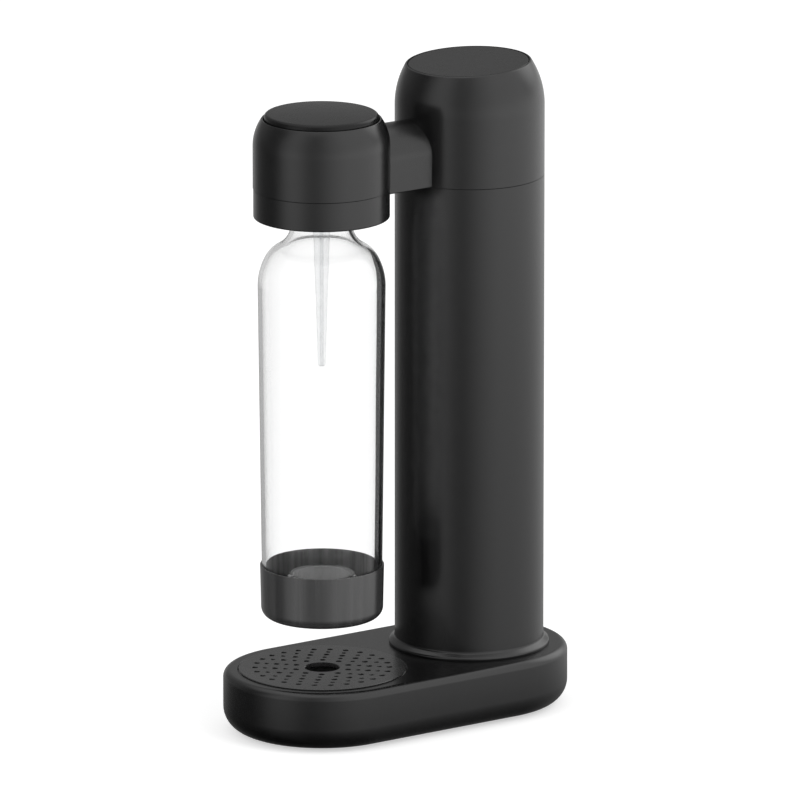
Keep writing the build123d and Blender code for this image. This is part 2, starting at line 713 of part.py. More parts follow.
# Arm: arched tube, coped to the column and to the bottle head
with BuildPart() as bridge_arm:
    with BuildSketch(arm_section):
        add(arch(ARM_HALF, SEAM_HEIGHT, ARM_SPRING_LINE))
        add(arch(arm_inner_half, arm_inner_foot, ARM_SPRING_LINE), mode=Mode.SUBTRACT)
    extrude(amount=AXIS_SPAN - COLUMN_RADIUS)
    with BuildSketch(column_level(SEAM_HEIGHT)):
        Circle(COLUMN_RADIUS + SLIP)
    extrude(amount=COLUMN_RADIUS, mode=Mode.SUBTRACT)
    with BuildSketch(bottle_level(SEAM_HEIGHT)):
        Circle(HEAD_RADIUS + SLIP)
    extrude(amount=COLUMN_RADIUS, mode=Mode.SUBTRACT)

# Chassis: plate through the arm, with two ears for the lever's pivot
with BuildPart() as head_chassis:
    with BuildSketch(Plane.XY.offset(CHASSIS_BASE)):
        with Locations((0, COLUMN_Y)):
            Circle(CHASSIS_REAR_RADIUS)
        with Locations((0, BOTTLE_Y)):
            Circle(CHASSIS_FRONT_RADIUS)
        Rectangle(2 * CHASSIS_HALF, AXIS_SPAN)
        with Locations((0, COLUMN_Y)):
            Circle(BLOCK_BOSS + SLIP, mode=Mode.SUBTRACT)
            with PolarLocations(CHASSIS_SCREW_SPREAD, 4, start_angle=45):
                Circle(M3_RADIUS + SLIP, mode=Mode.SUBTRACT)
            with PolarLocations(BLOCK_SCREW_SPREAD, 2):
                Circle(M3_RADIUS + SLIP, mode=Mode.SUBTRACT)
        with Locations((0, BOTTLE_Y)):
            Circle(SEAL_WAY, mode=Mode.SUBTRACT)
            with PolarLocations(SOCKET_SCREW_SPREAD, 2):
                Circle(M3_RADIUS + SLIP, mode=Mode.SUBTRACT)
            with PolarLocations(COLLAR_SCREW_SPREAD, 3, start_angle=COLLAR_SCREW_ANGLES[0]):
                Circle(M3_RADIUS + SLIP, mode=Mode.SUBTRACT)
    extrude(amount=CHASSIS_TOP - CHASSIS_BASE)
    for side in (LEVER_HALF + EAR_GAP, -LEVER_HALF - EAR_GAP - EAR_THICKNESS):
        with BuildSketch(Plane.YZ.offset(side)):
            with Locations((PIVOT_Y, PIVOT_Z)):
                Circle(PIVOT_EYE)
            with Locations((PIVOT_Y, (CHASSIS_TOP + PIVOT_Z) / 2)):
                Rectangle(2 * PIVOT_EYE, PIVOT_Z - CHASSIS_TOP)
            with Locations((PIVOT_Y, PIVOT_Z)):
                Circle(PIVOT_RADIUS + SLIP, mode=Mode.SUBTRACT)
        extrude(amount=EAR_THICKNESS)

with BuildPart() as chassis_screws:
    with Locations((0, COLUMN_Y, CHASSIS_TOP)):
        with PolarLocations(CHASSIS_SCREW_SPREAD, 4, start_angle=45):
            add(pan_screw(CHASSIS_SCREW_LENGTH))

with BuildPart() as block_screws:
    with Locations((0, COLUMN_Y, CHASSIS_TOP)):
        with PolarLocations(BLOCK_SCREW_SPREAD, 2):
            add(pan_screw(BLOCK_SCREW_LENGTH))

with BuildPart() as socket_screws:
    with Locations((0, BOTTLE_Y, HOLDER_FLANGE_TOP)):
        with PolarLocations(SOCKET_SCREW_SPREAD, 2):
            add(pan_screw(SOCKET_SCREW_LENGTH))

# Valve block: the cylinder screws up into it, and the pin goes through it
with BuildPart() as valve_block:
    with BuildSketch(column_level(BLOCK_BASE)):
        Circle(BLOCK_RADIUS)
    extrude(amount=CHASSIS_BASE - BLOCK_BASE)
    chamfer(valve_block.faces().sort_by(Axis.Z)[0].edges(), BLOCK_BEVEL)
    with BuildSketch(column_level(CHASSIS_BASE)):
        Circle(BLOCK_BOSS)
    extrude(amount=BOSS_TOP - CHASSIS_BASE)
    with BuildSketch(column_level(BLOCK_BASE)):
        Circle(VALVE_THREAD_RADIUS + SLIP)
    extrude(amount=THREAD_BORE_TOP - BLOCK_BASE, mode=Mode.SUBTRACT)
    with BuildSketch(column_level(BLOCK_BASE)):
        Circle(PIN_RADIUS + SLIP)
    extrude(amount=BOSS_TOP - BLOCK_BASE, mode=Mode.SUBTRACT)
    with BuildSketch(column_level(PIN_SEAT)):
        Circle(PIN_SEAT_RADIUS)
    extrude(amount=BOSS_TOP - PIN_SEAT, mode=Mode.SUBTRACT)
    with BuildSketch(Plane((0, COLUMN_Y - BLOCK_BOSS + PIPE_DEPTH, GAS_HEIGHT), z_dir=(0, -1, 0))):
        Circle(PIPE_RADIUS + SLIP)
    extrude(amount=2 * PIPE_DEPTH, mode=Mode.SUBTRACT)
    with BuildSketch(column_level(CHASSIS_BASE)):
        with PolarLocations(BLOCK_SCREW_SPREAD, 2):
            Circle(M3_RADIUS + SLIP)
    extrude(amount=-BLOCK_SCREW_LENGTH, mode=Mode.SUBTRACT)

with BuildPart() as valve_pin:
    with BuildSketch(column_level(PIN_BASE)):
        Circle(PIN_RADIUS)
    extrude(amount=PIN_HEAD_BASE - PIN_BASE)
    with BuildSketch(column_level(PIN_HEAD_BASE)):
        Circle(PIN_HEAD_RADIUS)
    extrude(amount=LEVER_BASE - FACE_GAP - PIN_HEAD_BASE)
    fillet(valve_pin.faces().sort_by(Axis.Z)[-1].edges(), PIN_HEAD_ROUND)

with BuildPart() as gas_pipe:
    pipe_start = COLUMN_Y - BLOCK_BOSS + PIPE_DEPTH - FACE_GAP
    pipe_end = BOTTLE_Y + HOLDER_BOSS - PIPE_DEPTH + FACE_GAP
    with BuildSketch(Plane((0, pipe_start, GAS_HEIGHT), z_dir=(0, -1, 0))):
        Circle(PIPE_RADIUS)
        Circle(PIPE_BORE, mode=Mode.SUBTRACT)
    extrude(amount=pipe_start - pipe_end)

with BuildPart() as pipe_nuts:
    for nut_start in (COLUMN_Y - BLOCK_BOSS - SLIP, BOTTLE_Y + HOLDER_BOSS + NUT_LENGTH + SLIP):
        nut_plane = Plane((0, nut_start, GAS_HEIGHT), x_dir=(0, 0, 1), z_dir=(0, -1, 0))
        with BuildSketch(nut_plane):
            RegularPolygon(NUT_HALF, 6, major_radius=False, rotation=30)
            Circle(PIPE_RADIUS + SLIP, mode=Mode.SUBTRACT)
        extrude(amount=NUT_LENGTH)

# Lever: bar from its pivot behind the valve pin to a place under the button
with BuildPart() as push_lever:
    lever_front = BOTTLE_Y - LEVER_END
    with BuildSketch(Plane.YZ.offset(-LEVER_HALF)):
        with Locations(((PIVOT_Y + lever_front) / 2, PIVOT_Z)):
            RectangleRounded(PIVOT_Y - lever_front, LEVER_TOP - LEVER_BASE, LEVER_ROUND)
        with Locations((PIVOT_Y, PIVOT_Z)):
            Circle(PIVOT_EYE)
            Circle(PIVOT_RADIUS + SLIP, mode=Mode.SUBTRACT)
    extrude(amount=2 * LEVER_HALF)

pivot_reach = LEVER_HALF + EAR_GAP + EAR_THICKNESS
with BuildPart() as lever_pivot_pin:
    pin_half = pivot_reach + 2 * CLIP_THICKNESS
    with BuildSketch(Plane((-pin_half, PIVOT_Y, PIVOT_Z), z_dir=(1, 0, 0))):
        Circle(PIVOT_RADIUS)
    extrude(amount=2 * pin_half)

with BuildPart() as pivot_clips:
    for clip_start in (pivot_reach + SLIP, -pivot_reach - SLIP - CLIP_THICKNESS):
        with BuildSketch(Plane((clip_start, PIVOT_Y, PIVOT_Z), z_dir=(1, 0, 0))):
            Circle(CLIP_RADIUS)
            Circle(PIVOT_RADIUS + SLIP / 2, mode=Mode.SUBTRACT)
        extrude(amount=CLIP_THICKNESS)

# Bottle head: casing, collar, button and the button's guide
bore_radius = BUTTON_RADIUS + BUTTON_GAP
head_arc_centre = (HEAD_RADIUS - HEAD_ARC, HEAD_SHOULDER)
head_sweep = math.degrees(math.asin((HEAD_TOP - HEAD_SHOULDER) / HEAD_ARC))

with BuildPart() as bottle_head_shell:
    with BuildSketch(BOTTLE_SECTION):
        with BuildLine():
            head_inner = HEAD_RADIUS - HEAD_WALL
            Polyline(
                (head_inner, COLLAR_TOP),
                (HEAD_RADIUS - SEAM_BEVEL, COLLAR_TOP),
                (HEAD_RADIUS, COLLAR_TOP + SEAM_BEVEL),
                (HEAD_RADIUS, HEAD_SHOULDER),
            )
            skin = CenterArc(head_arc_centre, HEAD_ARC, 0, head_sweep)
            Polyline(
                skin @ 1,
                (bore_radius, HEAD_TOP),
                (bore_radius, LIP_BASE),
                (LIP_WALL_RADIUS, LIP_BASE),
                (head_inner, HEAD_SHOULDER),
                (head_inner, COLLAR_TOP),
            )
        make_face()
    revolve(axis=BOTTLE_AXIS)
    fillet(bottle_head_shell.faces().sort_by(Axis.Z)[-1].edges(), RIM_ROUND)
    with BuildSketch(arm_section):
        add(arch(arm_inner_half, arm_inner_foot, ARM_SPRING_LINE))
    extrude(amount=AXIS_SPAN - COLUMN_RADIUS, mode=Mode.SUBTRACT)

with BuildPart() as bottle_collar:
    with BuildSketch(bottle_level(COLLAR_BASE)):
        Circle(COLLAR_RADIUS)
    extrude(amount=COLLAR_TOP - COLLAR_BASE)
    fillet(bottle_collar.faces().sort_by(Axis.Z)[0].edges(), COLLAR_ROUND)
    chamfer(bottle_collar.faces().sort_by(Axis.Z)[-1].edges(), SEAM_BEVEL)
    with BuildSketch(bottle_level(COLLAR_BASE + COLLAR_WALL)):
        Circle(COLLAR_RADIUS - COLLAR_WALL)
    extrude(amount=COLLAR_TOP - COLLAR_BASE, mode=Mode.SUBTRACT)
    with BuildSketch(bottle_level(COLLAR_BASE)):
        with PolarLocations(COLLAR_SCREW_SPREAD, 3, start_angle=COLLAR_SCREW_ANGLES[0]):
            Circle(COLLAR_BOSS)
    extrude(amount=CHASSIS_BASE - COLLAR_BASE - SLIP)
    with BuildSketch(bottle_level(COLLAR_BASE)):
        Circle(COLLAR_HOLE)
        with PolarLocations(COLLAR_SCREW_SPREAD, 3, start_angle=COLLAR_SCREW_ANGLES[0]):
            Circle(M3_RADIUS + SLIP)
    extrude(amount=CHASSIS_BASE - COLLAR_BASE, mode=Mode.SUBTRACT)
    with BuildSketch(bottle_level(COLLAR_BASE)):
        with PolarLocations(COLLAR_SCREW_SPREAD, 3, start_angle=COLLAR_SCREW_ANGLES[0]):
            Circle(M3_HEAD + FACE_GAP)
    extrude(amount=M3_HEAD_HEIGHT + FACE_GAP, mode=Mode.SUBTRACT)
    with BuildSketch(Plane.XY.offset(CHASSIS_BASE - SLOT_GAP)):
        with Locations((0, BOTTLE_Y + COLLAR_RADIUS)):
            Rectangle(2 * (CHASSIS_HALF + SLOT_GAP), COLLAR_RADIUS)
    extrude(amount=COLLAR_TOP, mode=Mode.SUBTRACT)

with BuildPart() as collar_screws:
    for angle in COLLAR_SCREW_ANGLES:
        x = COLLAR_SCREW_SPREAD * math.cos(math.radians(angle))
        y = BOTTLE_Y + COLLAR_SCREW_SPREAD * math.sin(math.radians(angle))
        seat = COLLAR_BASE + M3_HEAD_HEIGHT + FACE_GAP
        with Locations(Location((x, y, seat), (180, 0, 0))):
            add(pan_screw(CHASSIS_TOP - seat))

with BuildPart() as button_cap:
    flange_top = LIP_BASE - FACE_GAP
    with BuildSketch(BOTTLE_SECTION):
        with BuildLine():
            flat_end = (BUTTON_RADIUS - BUTTON_EDGE, BUTTON_TOP)
            crown = TangentArc((0, BUTTON_TOP + BUTTON_CROWN), flat_end, tangent=(1, 0))
            edge = TangentArc(flat_end, (BUTTON_RADIUS, BUTTON_TOP - BUTTON_EDGE), tangent=crown % 1)
            Polyline(
                edge @ 1,
                (BUTTON_RADIUS, flange_top),
                (FLANGE_RADIUS, flange_top),
                (FLANGE_RADIUS, flange_top - FLANGE_HEIGHT),
                (BUTTON_RADIUS - BUTTON_WALL, flange_top - FLANGE_HEIGHT),
                (BUTTON_RADIUS - BUTTON_WALL, BUTTON_UNDERSIDE),
                (0, BUTTON_UNDERSIDE),
                (0, BUTTON_TOP + BUTTON_CROWN),
            )
        make_face()
    revolve(axis=BOTTLE_AXIS)
    with BuildSketch(bottle_level(LEVER_TOP + FACE_GAP)):
        Circle(STEM_RADIUS)
    extrude(amount=BUTTON_UNDERSIDE - LEVER_TOP - FACE_GAP)
    fillet(button_cap.faces().sort_by(Axis.Z)[0].edges(), STEM_TIP_ROUND)

with BuildPart() as button_guide:
    with BuildSketch(bottle_level(GUIDE_BASE)):
        Circle(GUIDE_RADIUS)
        Circle(STEM_RADIUS + SLIP, mode=Mode.SUBTRACT)
        with PolarLocations(GUIDE_HOLE_SPREAD, 4):
            Circle(GUIDE_HOLE_RADIUS, mode=Mode.SUBTRACT)
    extrude(amount=GUIDE_TOP - GUIDE_BASE)
    with BuildSketch(bottle_level(CHASSIS_TOP)):
        with PolarLocations(GUIDE_POST_SPREAD, 4, start_angle=45):
            Circle(GUIDE_POST_RADIUS)
    extrude(amount=GUIDE_BASE - CHASSIS_TOP)

# Nozzle holder, nozzle and the threaded socket for the bottle
with BuildPart() as nozzle_holder:
    with BuildSketch(bottle_level(HOLDER_BASE)):
        Circle(HOLDER_RADIUS)
    extrude(amount=CHASSIS_TOP - HOLDER_BASE)
    with BuildSketch(bottle_level(CHASSIS_TOP)):
        Circle(HOLDER_FLANGE_RADIUS)
        with PolarLocations(SOCKET_SCREW_SPREAD, 2):
            Circle(HOLDER_EAR_RADIUS)
    extrude(amount=HOLDER_FLANGE_TOP - CHASSIS_TOP)
    with BuildSketch(bottle_level(HOLDER_FLANGE_TOP)):
        Circle(HOLDER_BOSS)
    extrude(amount=BOSS_TOP - HOLDER_FLANGE_TOP)
    with BuildSketch(bottle_level(HOLDER_BASE)):
        Circle(NOZZLE_SPIGOT_RADIUS + SLIP)
    extrude(amount=NOZZLE_SPIGOT_TOP + FACE_GAP - HOLDER_BASE, mode=Mode.SUBTRACT)
    with BuildSketch(bottle_level(HOLDER_BASE)):
        Circle(PIPE_BORE)
    extrude(amount=GAS_HEIGHT - HOLDER_BASE, mode=Mode.SUBTRACT)
    with BuildSketch(Plane((0, BOTTLE_Y + HOLDER_BOSS - PIPE_DEPTH, GAS_HEIGHT), z_dir=(0, 1, 0))):
        Circle(PIPE_RADIUS + SLIP)
    extrude(amount=2 * PIPE_DEPTH, mode=Mode.SUBTRACT)
    with BuildSketch(bottle_level(CHASSIS_TOP)):
        with PolarLocations(SOCKET_SCREW_SPREAD, 2):
            Circle(M3_RADIUS + SLIP)
    extrude(amount=HOLDER_FLANGE_TOP - CHASSIS_TOP, mode=Mode.SUBTRACT)
    with BuildSketch(bottle_level(O_RING_HEIGHT)):
        Circle(NOZZLE_SPIGOT_RADIUS + 2 * O_RING_WIRE)
    extrude(amount=2 * O_RING_WIRE + FACE_GAP, mode=Mode.SUBTRACT)

with BuildPart() as nozzle_o_ring:
    with BuildSketch(BOTTLE_SECTION):
        with Locations((NOZZLE_SPIGOT_RADIUS + O_RING_WIRE, O_RING_HEIGHT + O_RING_WIRE)):
            Circle(O_RING_WIRE - SLIP / 2)
    revolve(axis=BOTTLE_AXIS)

with BuildPart() as nozzle:
    with BuildSketch(BOTTLE_SECTION):
        with BuildLine():
            tip_start = (NOZZLE_TIP_RADIUS, NOZZLE_TIP + NOZZLE_TIP_RADIUS)
            Polyline(
                (NOZZLE_BORE, NOZZLE_SPIGOT_TOP),
                (NOZZLE_SPIGOT_RADIUS, NOZZLE_SPIGOT_TOP),
                (NOZZLE_SPIGOT_RADIUS, HOLDER_BASE),
                (NOZZLE_RADIUS, HOLDER_BASE),
                (NOZZLE_RADIUS, NOZZLE_SHOULDER),
                (NOZZLE_MID_RADIUS, NOZZLE_MID),
                tip_start,
            )
            TangentArc(tip_start, (NOZZLE_BORE, NOZZLE_TIP), tangent=(0, -1))
            Line((NOZZLE_BORE, NOZZLE_TIP), (NOZZLE_BORE, NOZZLE_SPIGOT_TOP))
        make_face()
    revolve(axis=BOTTLE_AXIS)

with BuildPart() as bottle_socket:
    with BuildSketch(bottle_level(SOCKET_BASE)):
        Circle(SOCKET_RADIUS)
        Circle(SOCKET_BORE, mode=Mode.SUBTRACT)
        with PolarLocations(SOCKET_SCREW_SPREAD, 2):
            Circle(M3_RADIUS + SLIP, mode=Mode.SUBTRACT)
    extrude(amount=CHASSIS_BASE - SOCKET_BASE)

# Seal: rubber ring on a sliding carrier, pushed onto the bottle's mouth by its spring
with BuildPart() as seal_carrier:
    with BuildSketch(bottle_level(CARRIER_BASE)):
        Circle(SEAL_RADIUS)
        Circle(HOLDER_RADIUS + SLIP, mode=Mode.SUBTRACT)
    extrude(amount=CARRIER_TOP - CARRIER_BASE)

with BuildPart() as bottle_seal:
    with BuildSketch(bottle_level(SEAL_BASE)):
        Circle(SEAL_RADIUS)
        Circle(SEAL_BORE, mode=Mode.SUBTRACT)
    extrude(amount=CARRIER_BASE - SEAL_BASE)

# Relief valve: a sprung poppet in a short tube on the front of the nozzle holder
with BuildPart() as relief_valve_body:
    with BuildSketch(relief_level(0)):
        Circle(RELIEF_RADIUS)
        Circle(RELIEF_PORT, mode=Mode.SUBTRACT)
    extrude(amount=RELIEF_LENGTH)
    with BuildSketch(relief_level(RELIEF_SEAT)):
        Circle(RELIEF_BORE)
    extrude(amount=RELIEF_LENGTH, mode=Mode.SUBTRACT)
    with BuildSketch(bottle_level(GAS_HEIGHT - RELIEF_RADIUS)):
        Circle(HOLDER_BOSS + SLIP)
    extrude(amount=2 * RELIEF_RADIUS, mode=Mode.SUBTRACT)

with BuildPart() as relief_cap:
    with BuildSketch(relief_level(RELIEF_LENGTH)):
        Circle(RELIEF_RADIUS)
    extrude(amount=RELIEF_CAP_LENGTH)
    with BuildSketch(relief_level(RELIEF_LENGTH - RELIEF_PLUG)):
        Circle(RELIEF_BORE - SLIP)
    extrude(amount=RELIEF_PLUG)
    with BuildSketch(relief_level(0)):
        Circle(POPPET_STEM + FACE_GAP)
    extrude(amount=2 * RELIEF_LENGTH, mode=Mode.SUBTRACT)

with BuildPart() as relief_poppet:
    with BuildSketch(relief_level(RELIEF_SEAT + SLIP)):
        Circle(POPPET_RADIUS)
    extrude(amount=POPPET_LENGTH)
    with BuildSketch(relief_level(RELIEF_SEAT + SLIP + POPPET_LENGTH)):
        Circle(POPPET_STEM)
    extrude(amount=POPPET_REACH - RELIEF_SEAT - POPPET_LENGTH)


def coil_spring(plane, radius, length, turns, wire_radius):
    """Coil spring that stands on a plane and is as long overall as the room that it fills."""
    line_length = length - 2 * (wire_radius + SLIP)
    line_plane = plane.offset(wire_radius + SLIP)
    with BuildPart() as spring:
        with BuildLine() as wire:
            add(coil_line(line_plane, radius, line_length, turns))
        with BuildSketch(Plane(origin=wire.line @ 0, z_dir=wire.line % 0)):
            Circle(wire_radius)
        sweep(path=wire.line)
    return spring


button_spring_room = BUTTON_UNDERSIDE - GUIDE_TOP
button_spring = coil_spring(
    bottle_level(GUIDE_TOP), BUTTON_COIL, button_spring_room, BUTTON_TURNS, BUTTON_WIRE
)
print_coil_gap("button_spring", button_spring_room, BUTTON_TURNS, BUTTON_WIRE)

pin_spring_room = PIN_HEAD_BASE - PIN_SEAT
valve_pin_spring = coil_spring(column_level(PIN_SEAT), PIN_COIL, pin_spring_room, PIN_TURNS, PIN_WIRE)
print_coil_gap("valve_pin_spring", pin_spring_room, PIN_TURNS, PIN_WIRE)

seal_spring_room = CHASSIS_TOP - CARRIER_TOP
seal_spring = coil_spring(bottle_level(CARRIER_TOP), SEAL_COIL, seal_spring_room, SEAL_TURNS, SEAL_WIRE)
print_coil_gap("seal_spring", seal_spring_room, SEAL_TURNS, SEAL_WIRE)

relief_start = RELIEF_SEAT + SLIP + POPPET_LENGTH
relief_spring_room = RELIEF_LENGTH - RELIEF_PLUG - relief_start
relief_spring = coil_spring(
    relief_level(relief_start), RELIEF_COIL, relief_spring_room, RELIEF_TURNS, RELIEF_WIRE
)
print_coil_gap("relief_spring", relief_spring_room, RELIEF_TURNS, RELIEF_WIRE)


def bottle_profile(inset, neck, base, top):
    """Half section of the bottle, drawn in from its outer skin by an inset."""
    sweep_angle = math.radians(SHOULDER_LOWER_SWEEP)
    lower_centre = (BOTTLE_RADIUS - SHOULDER_LOWER_ARC, BOTTLE_SHOULDER)
    arc_step = SHOULDER_LOWER_ARC - SHOULDER_UPPER_ARC
    upper_centre = (
        lower_centre[0] + arc_step * math.cos(sweep_angle),
        lower_centre[1] + arc_step * math.sin(sweep_angle),
    )
    upper_radius = SHOULDER_UPPER_ARC - inset
    neck_angle = math.degrees(math.acos((neck - upper_centre[0]) / upper_radius))
    round_radius = BOTTLE_ROUND - inset
    foot = BOTTLE_FOOT_RADIUS - inset
    with BuildSketch() as section:
        with BuildLine():
            Line((0, base), (foot - round_radius, base))
            CenterArc((foot - round_radius, base + round_radius), round_radius, -90, 90)
            lower = CenterArc(lower_centre, SHOULDER_LOWER_ARC - inset, 0, SHOULDER_LOWER_SWEEP)
            Line((foot, base + round_radius), lower @ 0)
            upper_sweep = neck_angle - SHOULDER_LOWER_SWEEP
            upper = CenterArc(upper_centre, upper_radius, SHOULDER_LOWER_SWEEP, upper_sweep)
            Polyline(upper @ 1, (neck, top), (0, top), (0, base))
        make_face()
        flare = NECK_FLARE + BOTTLE_NECK - neck
        fillet(section.vertices().sort_by_distance(upper @ 1)[0], flare)
    return section.sketch


neck_bore = BOTTLE_NECK - BOTTLE_NECK_WALL

with BuildPart() as bottle:
    with BuildSketch(BOTTLE_SECTION):
        add(bottle_profile(0, BOTTLE_NECK, BOTTLE_BASE, NECK_JOINT))
    revolve(axis=BOTTLE_AXIS)
    with BuildSketch(bottle_level(NECK_JOINT)):
        Circle(NECK_LAP_RADIUS)
    extrude(amount=NECK_LAP)
    with BuildSketch(BOTTLE_SECTION):
        add(bottle_profile(BOTTLE_WALL, neck_bore, BOTTLE_BASE + BOTTLE_FLOOR, BOTTLE_MOUTH))
    revolve(axis=BOTTLE_AXIS, mode=Mode.SUBTRACT)

with BuildPart() as bottle_neck_ring:
    with BuildSketch(bottle_level(NECK_JOINT)):
        Circle(BOTTLE_NECK)
    extrude(amount=BOTTLE_MOUTH - NECK_JOINT)
    with BuildSketch(bottle_level(THREAD_BASE)):
        for angle in THREAD_ANGLES:
            add(ring_sector(BOTTLE_NECK - THREAD_ROOT, THREAD_RADIUS, angle, THREAD_SPAN))
    extrude(amount=THREAD_HEIGHT)
    with BuildSketch(bottle_level(NECK_JOINT)):
        Circle(NECK_LAP_RADIUS + SLIP)
    extrude(amount=NECK_LAP + FACE_GAP, mode=Mode.SUBTRACT)
    with BuildSketch(bottle_level(NECK_JOINT)):
        Circle(neck_bore)
    extrude(amount=BOTTLE_MOUTH - NECK_JOINT, mode=Mode.SUBTRACT)

with BuildPart() as bottle_base_cup:
    with BuildSketch(BOTTLE_SECTION):
        with BuildLine():
            Line((0, CUP_BASE), (CUP_FOOT_RADIUS - CUP_ROUND, CUP_BASE))
            CenterArc((CUP_FOOT_RADIUS - CUP_ROUND, CUP_BASE + CUP_ROUND), CUP_ROUND, -90, 90)
            Polyline(
                (CUP_FOOT_RADIUS, CUP_BASE + CUP_ROUND),
                (CUP_TOP_RADIUS, CUP_TOP),
                (CUP_INNER, CUP_TOP),
                (BOTTLE_FOOT_RADIUS + FACE_GAP, BOTTLE_BASE + BOTTLE_ROUND),
            )
            corner_centre = (BOTTLE_FOOT_RADIUS - BOTTLE_ROUND, BOTTLE_BASE + BOTTLE_ROUND)
            corner = CenterArc(corner_centre, BOTTLE_ROUND + FACE_GAP, -90, 90)
            Polyline(corner @ 0, (0, BOTTLE_BASE - FACE_GAP), (0, CUP_BASE))
        make_face()
    revolve(axis=BOTTLE_AXIS)

PIECES = {
    "base_shell": base_shell,
    "base_bottom_plate": base_bottom_plate,
    "base_screws": base_screws,
    "front_foot_strip": front_foot_strip,
    "rear_foot_strip": rear_foot_strip,
    "cylinder_hatch": cylinder_hatch,
    "hatch_pad": hatch_pad,
    "drip_tray_cup": drip_tray_cup,
    "drip_tray_grille": drip_tray_grille,
    "column_foot_ring": column_foot_ring,
    "column_spigot": column_spigot,
    "spigot_screws": spigot_screws,
    "column_tube": column_tube,
    "lower_cylinder_guide": lower_cylinder_guide,
    "upper_cylinder_guide": upper_cylinder_guide,
    "column_top_ring": column_top_ring,
    "gas_cylinder": gas_cylinder,
    "cylinder_valve": cylinder_valve,
    "cylinder_washer": cylinder_washer,
    "head_housing": head_housing,
    "column_cap": column_cap,
    "bridge_arm": bridge_arm,
    "head_chassis": head_chassis,
    "chassis_screws": chassis_screws,
    "block_screws": block_screws,
    "socket_screws": socket_screws,
    "valve_block": valve_block,
    "valve_pin": valve_pin,
    "valve_pin_spring": valve_pin_spring,
    "gas_pipe": gas_pipe,
    "pipe_nuts": pipe_nuts,
    "push_lever": push_lever,
    "lever_pivot_pin": lever_pivot_pin,
    "pivot_clips": pivot_clips,
    "bottle_head_shell": bottle_head_shell,
    "bottle_collar": bottle_collar,
    "collar_screws": collar_screws,
    "button_cap": button_cap,
    "button_guide": button_guide,
    "button_spring": button_spring,
    "nozzle_holder": nozzle_holder,
    "nozzle_o_ring": nozzle_o_ring,
    "nozzle": nozzle,
    "bottle_socket": bottle_socket,
    "seal_carrier": seal_carrier,
    "bottle_seal": bottle_seal,
    "seal_spring": seal_spring,
    "relief_valve_body": relief_valve_body,
    "relief_cap": relief_cap,
    "relief_poppet": relief_poppet,
    "relief_spring": relief_spring,
    "bottle": bottle,
    "bottle_neck_ring": bottle_neck_ring,
    "bottle_base_cup": bottle_base_cup,
}

for label, piece in PIECES.items():
    piece.part.label = label
    export_step(piece.part, f"parts/{label}.step")
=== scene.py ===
"""Dressed model of a slim soda carbonator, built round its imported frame."""

from __future__ import annotations

import json
import logging
import math
from dataclasses import dataclass
from enum import Enum
from typing import Callable, Sequence

import bmesh
import bpy
from mathutils import Matrix, Vector

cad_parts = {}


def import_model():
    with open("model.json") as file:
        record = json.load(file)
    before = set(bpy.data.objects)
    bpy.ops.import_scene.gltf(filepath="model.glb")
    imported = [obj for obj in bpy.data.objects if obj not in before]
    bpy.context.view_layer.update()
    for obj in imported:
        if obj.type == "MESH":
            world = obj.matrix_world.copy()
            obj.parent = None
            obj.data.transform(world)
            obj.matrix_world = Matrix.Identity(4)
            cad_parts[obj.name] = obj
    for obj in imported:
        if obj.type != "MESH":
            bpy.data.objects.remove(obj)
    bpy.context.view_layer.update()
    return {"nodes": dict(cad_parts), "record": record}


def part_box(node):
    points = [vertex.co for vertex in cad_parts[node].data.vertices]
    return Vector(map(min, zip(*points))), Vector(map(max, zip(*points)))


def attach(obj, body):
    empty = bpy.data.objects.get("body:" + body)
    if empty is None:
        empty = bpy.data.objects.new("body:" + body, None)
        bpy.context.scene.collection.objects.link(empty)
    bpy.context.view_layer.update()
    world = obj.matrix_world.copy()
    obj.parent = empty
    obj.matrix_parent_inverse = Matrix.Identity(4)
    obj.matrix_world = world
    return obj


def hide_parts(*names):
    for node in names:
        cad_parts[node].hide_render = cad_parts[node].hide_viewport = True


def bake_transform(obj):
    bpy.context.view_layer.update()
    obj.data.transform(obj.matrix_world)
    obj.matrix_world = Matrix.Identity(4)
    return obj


LOG = logging.getLogger("carbonator")

Point = tuple[float, float]
Corner = tuple[float, float, float]
Colour = tuple[float, float, float]
Scale = tuple[float, float, float]
Socket = bpy.types.NodeSocket
Mesh = bpy.types.Mesh
Material = bpy.types.Material

# Sizes are in millimetres, and are brought to metres where a mesh or a node takes them.
MM = 0.001
WELD = 0.001
DOUBLES = 0.0005
BOTTLE_Y = -57.75
COLUMN_Y = 57.75
BOTTLE_AXIS = Vector((0.0, BOTTLE_Y, 0.0))
COLUMN_AXIS = Vector((0.0, COLUMN_Y, 0.0))

# Ranges that most values of one noise, or of the sum of two, lie in
NOISE_MIDDLE: Point = (0.3, 0.7)
NOISE_PAIR: Point = (0.7, 1.3)
UNIT: Point = (0.0, 1.0)


class Body(Enum):
    """CAD bodies that the pieces ride on."""

    STAND = "stand"
    BUTTON = "button"
    PIN = "pin"
    SEAL = "seal"
    RELIEF = "relief"
    BOTTLE = "bottle"
    TRAY = "tray"


class Slot(Enum):
    """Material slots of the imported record."""

    BLACK_BODY = "black_body"
    BLACK_CAP = "black_cap"
    TRAY_BLACK = "tray_black"
    CUP_SATIN = "cup_satin"
    CLEAR_BOTTLE = "clear_bottle"
    NOZZLE_GREY = "nozzle_grey"
    INNER_PLASTIC = "inner_plastic"
    STEEL = "steel"
    BRASS = "brass"
    CYLINDER_ALLOY = "cylinder_alloy"
    RUBBER = "rubber"


class Kind(Enum):
    """Socket types of the node tools' inputs."""

    COUNT = "NodeSocketInt"
    NUMBER = "NodeSocketFloat"
    PLACE = "NodeSocketVector"
    OBJECT = "NodeSocketObject"
    FINISH = "NodeSocketMaterial"


